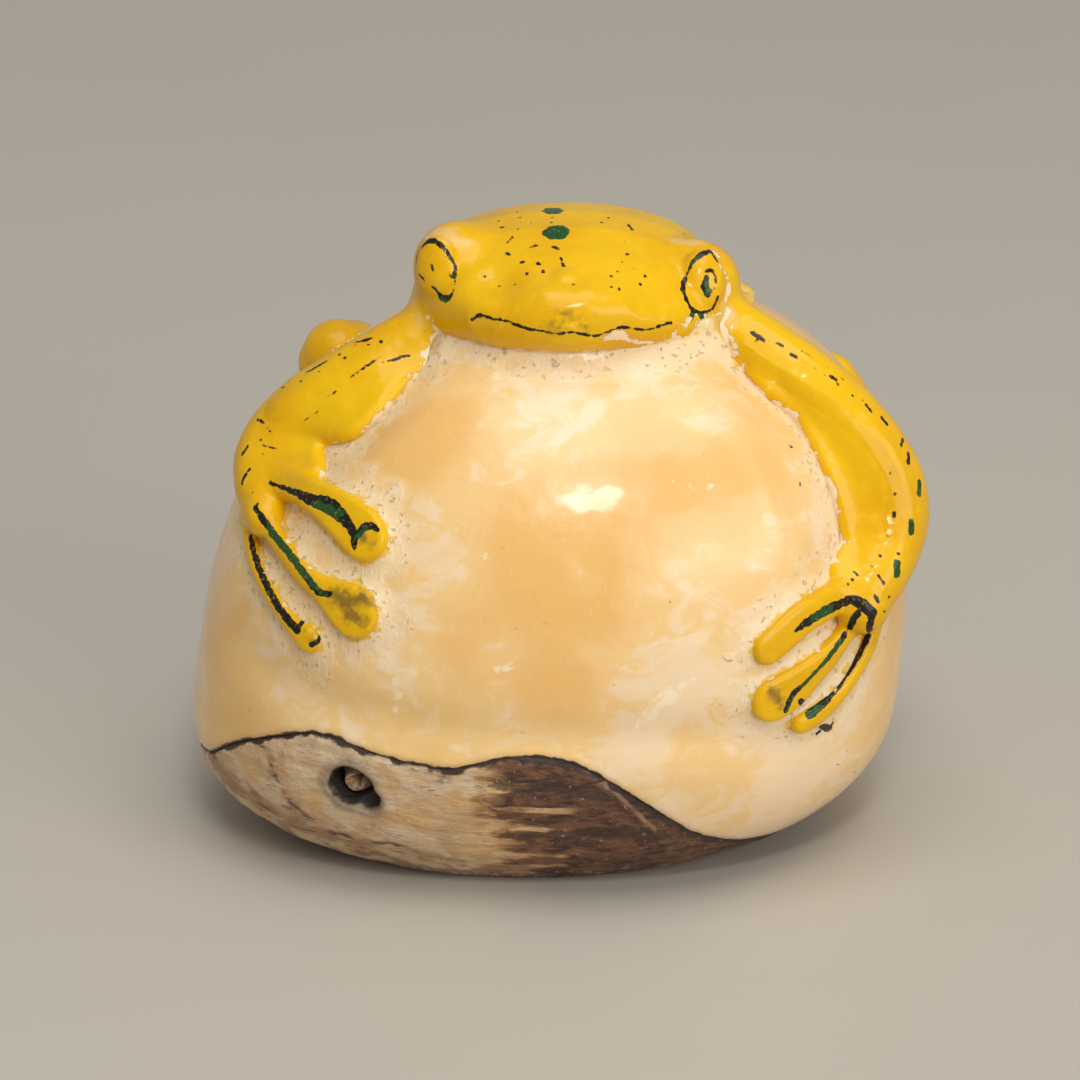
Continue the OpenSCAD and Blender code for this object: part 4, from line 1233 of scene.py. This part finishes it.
def seed_coat():
    n = Nodes("brown seed coat")
    along = n.stretched((0.6, 0.7, 1.9), (0, 26, 0))
    streak = n.noise(0.9, 7, along, 0.68, 0.6)
    blotch = n.noise(0.35, 5, None, 0.62, 0.8)
    mottle = n.noise(0.75, 7, n.stretched((0.7, 0.8, 1.5), (0, 20, 0)), 0.62, 0.5)
    tongue = n.noise(0.5, 6, n.stretched((0.35, 0.6, 1.8), (0, 10, 0)), 0.55, 0.4)
    fine = n.noise(3.0, 5, along, 0.7)
    tan = n.blend(n.span(blotch, 0.38, 0.62), (0.78, 0.59, 0.38), (0.66, 0.41, 0.2))
    tan = n.blend(n.span(streak, 0.5, 0.7, 0, 0.6), tan, (0.84, 0.67, 0.46))
    gold = n.frayed(n.mark("cloud"), mottle, -0.5, 0.5)
    tan = n.blend(n.span(gold, -0.1, -0.9, 0, 0.8), tan, (0.76, 0.46, 0.18))
    spots = n.add(n.times(n.mark("cloud"), 0.3), mottle)
    tan = n.blend(n.span(spots, 0.5, 0.85, 0, 0.85), tan, (0.29, 0.155, 0.085))
    crack = n.noise(1.5, 7, n.stretched((0.4, 0.5, 2.2), (0, 20, 0)), 0.78)
    crack = n.times(n.span(crack, 0.57, 0.68), n.span(n.mark("cloud"), -0.3, 0.8, 0.1, 0.85))
    tan = n.blend(crack, tan, (0.14, 0.07, 0.038))
    tan = n.blend(n.span(fine, 0.54, 0.72, 0, 0.45), tan, (0.4, 0.24, 0.13))
    foot = n.less(n.mark("level"), n.span(n.noise(0.5, 5), 0.3, 0.7, 0, 2.2))
    tan = n.blend(n.span(foot, 1.2, 0.1, 0, 0.75), tan, (0.24, 0.14, 0.085))
    brown = n.blend(n.span(streak, 0.38, 0.62), (0.05, 0.018, 0.009), (0.19, 0.078, 0.036))
    brown = n.blend(n.span(mottle, 0.5, 0.66, 0, 0.65), brown, (0.3, 0.14, 0.065))
    brown = n.blend(n.span(fine, 0.58, 0.72, 0, 0.6), brown, (0.33, 0.2, 0.12))
    brown = n.blend(n.span(n.mark("cloud"), -0.3, -1, 0, 0.5), brown, (0.36, 0.17, 0.065))
    # The line between the tan and the brown coat wanders, but only near the line.
    wander = n.frayed(n.span(tongue, 0.35, 0.65, -0.55, 0.55), streak, -0.15, 0.15)
    edge = n.times(wander, n.span(n.math("ABSOLUTE", n.less(n.mark("dark"), 0.5)), 0.5, 0.35))
    edge = n.add(n.mark("dark"), edge)
    edge = n.add(edge, n.times(n.mark("cloud"), 0.3))
    colour = n.blend(n.span(edge, 0.05, 0.5, 0, 0.9), tan, (0.5, 0.26, 0.09))
    colour = n.blend(n.span(edge, 0.35, 0.85), colour, brown)
    char = n.span(n.frayed(n.mark("char"), mottle, -0.5, 0.25), -0.2, 0.2)
    colour = n.blend(n.times(char, 0.75), colour, (0.045, 0.022, 0.013))
    crest = n.frayed(n.mark("crest"), n.noise(1.2, 4), -0.12, 0.06)
    colour = n.blend(n.span(crest, -0.15, 0.04, 0, 0.6), colour, (0.42, 0.26, 0.16))
    dust = n.span(n.noise(1.5, 6, n.stretched((1.6, 1.6, 0.5))), 0.52, 0.66)
    dust = n.times(dust, n.span(n.mark("level"), 1.8, 0.3))
    colour = n.blend(n.times(dust, 0.7), colour, (0.62, 0.54, 0.44))
    # Painted glints: sparse pale specks over the coat.
    colour = n.blend(n.span(n.noise(3.4, 2), 0.68, 0.73, 0, 0.5), colour, (0.66, 0.54, 0.42))
    # A greyer ring round the pore, then painted shadow: near-black down inside the pit.
    pore = n.frayed(n.mark("pore"), n.noise(1.6, 3), -0.06, 0.06)
    colour = n.blend(n.span(pore, 2.5, 1.6, 0, 0.7), colour, (0.24, 0.17, 0.12))
    colour = n.blend(n.span(pore, 1.62, 1.4), colour, (0.014, 0.009, 0.006))
    # Painted shadow: a near-black line along the coat's top edge.
    rim = n.frayed(n.mark("below"), n.noise(0.8, 4), -0.2, 0.2)
    colour = n.blend(n.span(rim, 0.34, 0.14), colour, (0.04, 0.022, 0.014))
    height = n.add(n.times(streak, 0.7), n.times(fine, 0.35))
    height = n.add(height, n.times(mottle, -0.5))
    height = n.less(height, n.times(crack, 0.5))
    return n.finish(Base_Color=colour, Normal=n.bump(height, 0.32),
                    Roughness=n.span(streak, 0.3, 0.7, 0.6, 0.38), Coat_Weight=0.1, Coat_Roughness=0.3)


def fibre_plug():
    n = Nodes("dry germ fibre")
    strand = n.noise(2.0, 5, n.stretched((1, 1, 2.4), (0, 40, 0)), 0.7)
    colour = n.blend(n.span(strand, 0.4, 0.65), (0.58, 0.4, 0.23), (0.2, 0.11, 0.055))
    # Painted shade: the plug turns near-black where it lies deepest in the pit.
    colour = n.blend(n.span(n.mark("high"), -0.75, -1.35), colour, (0.04, 0.025, 0.015))
    return n.finish(Base_Color=colour, Normal=n.bump(strand, 0.2), Roughness=0.7)


def floor_board():
    n = Nodes("pale floor")
    colour = n.blend(n.noise(0.02, 4), (0.5, 0.46, 0.395), (0.54, 0.5, 0.43))
    return n.finish(Base_Color=colour, Roughness=0.6)


# ---------------------------------------------------------------- the scene

# The point that the lights are aimed at and placed about, in mm.
LIT_MIDDLE = (0, 0, 20)


def add_light(name, energy, size, place, colour, roll=0.0):
    data = bpy.data.lights.new(name, "AREA")
    data.shape = "RECTANGLE"
    data.energy = energy
    data.color = colour
    data.size, data.size_y = (v / 1000 for v in size)
    lamp = bpy.data.objects.new(name, data)
    bpy.context.scene.collection.objects.link(lamp)
    lamp.location = Vector(place) / 1000
    turn = (Vector(LIT_MIDDLE) - Vector(place)).to_track_quat("-Z", "Y").to_matrix()
    lamp.rotation_euler = (turn @ Matrix.Rotation(radians(roll), 3, "Z")).to_euler()


def around(azimuth, elevation, distance):
    """A point in mm about the middle of the part, by its direction and distance."""
    a, e = radians(azimuth), radians(elevation)
    out = [sin(a) * cos(e), -cos(a) * cos(e), sin(e)]
    return [centre + distance * share for centre, share in zip(LIT_MIDDLE, out)]


def set_stage():
    mesh = bpy.data.meshes.new("floor")
    half = 3.0
    corners = [(-half, -half, 0), (half, -half, 0), (half, half, 0), (-half, half, 0)]
    mesh.from_pydata(corners, [], [(0, 1, 2, 3)])
    floor = bpy.data.objects.new("floor", mesh)
    bpy.context.scene.collection.objects.link(floor)
    floor.data.materials.append(floor_board())
    add_light("key", 0.55, (110, 55), around(4, 43, 520), (0.93, 0.97, 1), 42)
    add_light("top", 1.85, (480, 400), around(15, 76, 640), (1, 0.98, 0.96))
    add_light("front", 2.6, (600, 400), around(40, 20, 800), (1, 0.97, 0.93))
    world = bpy.data.worlds.new("studio")
    world.use_nodes = True
    background = world.node_tree.nodes["Background"]
    background.inputs["Color"].default_value = (0.95, 0.93, 0.9, 1)
    background.inputs["Strength"].default_value = 0.34
    bpy.context.scene.world = world
    bpy.context.scene.view_settings.view_transform = "Standard"


def set_camera():
    data = bpy.data.cameras.new("camera")
    data.sensor_width = 36
    data.lens = data.sensor_width * DISTANCE / CARD_WIDTH
    camera = bpy.data.objects.new("camera", data)
    bpy.context.scene.collection.objects.link(camera)
    camera.location = Vector(to_metres(EYE))
    camera.rotation_euler = Vector(AHEAD).to_track_quat("-Z", "Y").to_euler()
    data.clip_start, data.clip_end = 0.02, 20
    bpy.context.scene.camera = camera


nut, ivory_tree = build_ivory()
nut.data.materials.append(ivory())
frog = build_frog(ivory_tree)
paint = yellow_paint()
for piece in frog.values():
    piece.data.materials.append(paint)
build_coat().data.materials.append(seed_coat())
build_plug().data.materials.append(fibre_plug())
set_stage()
set_camera()
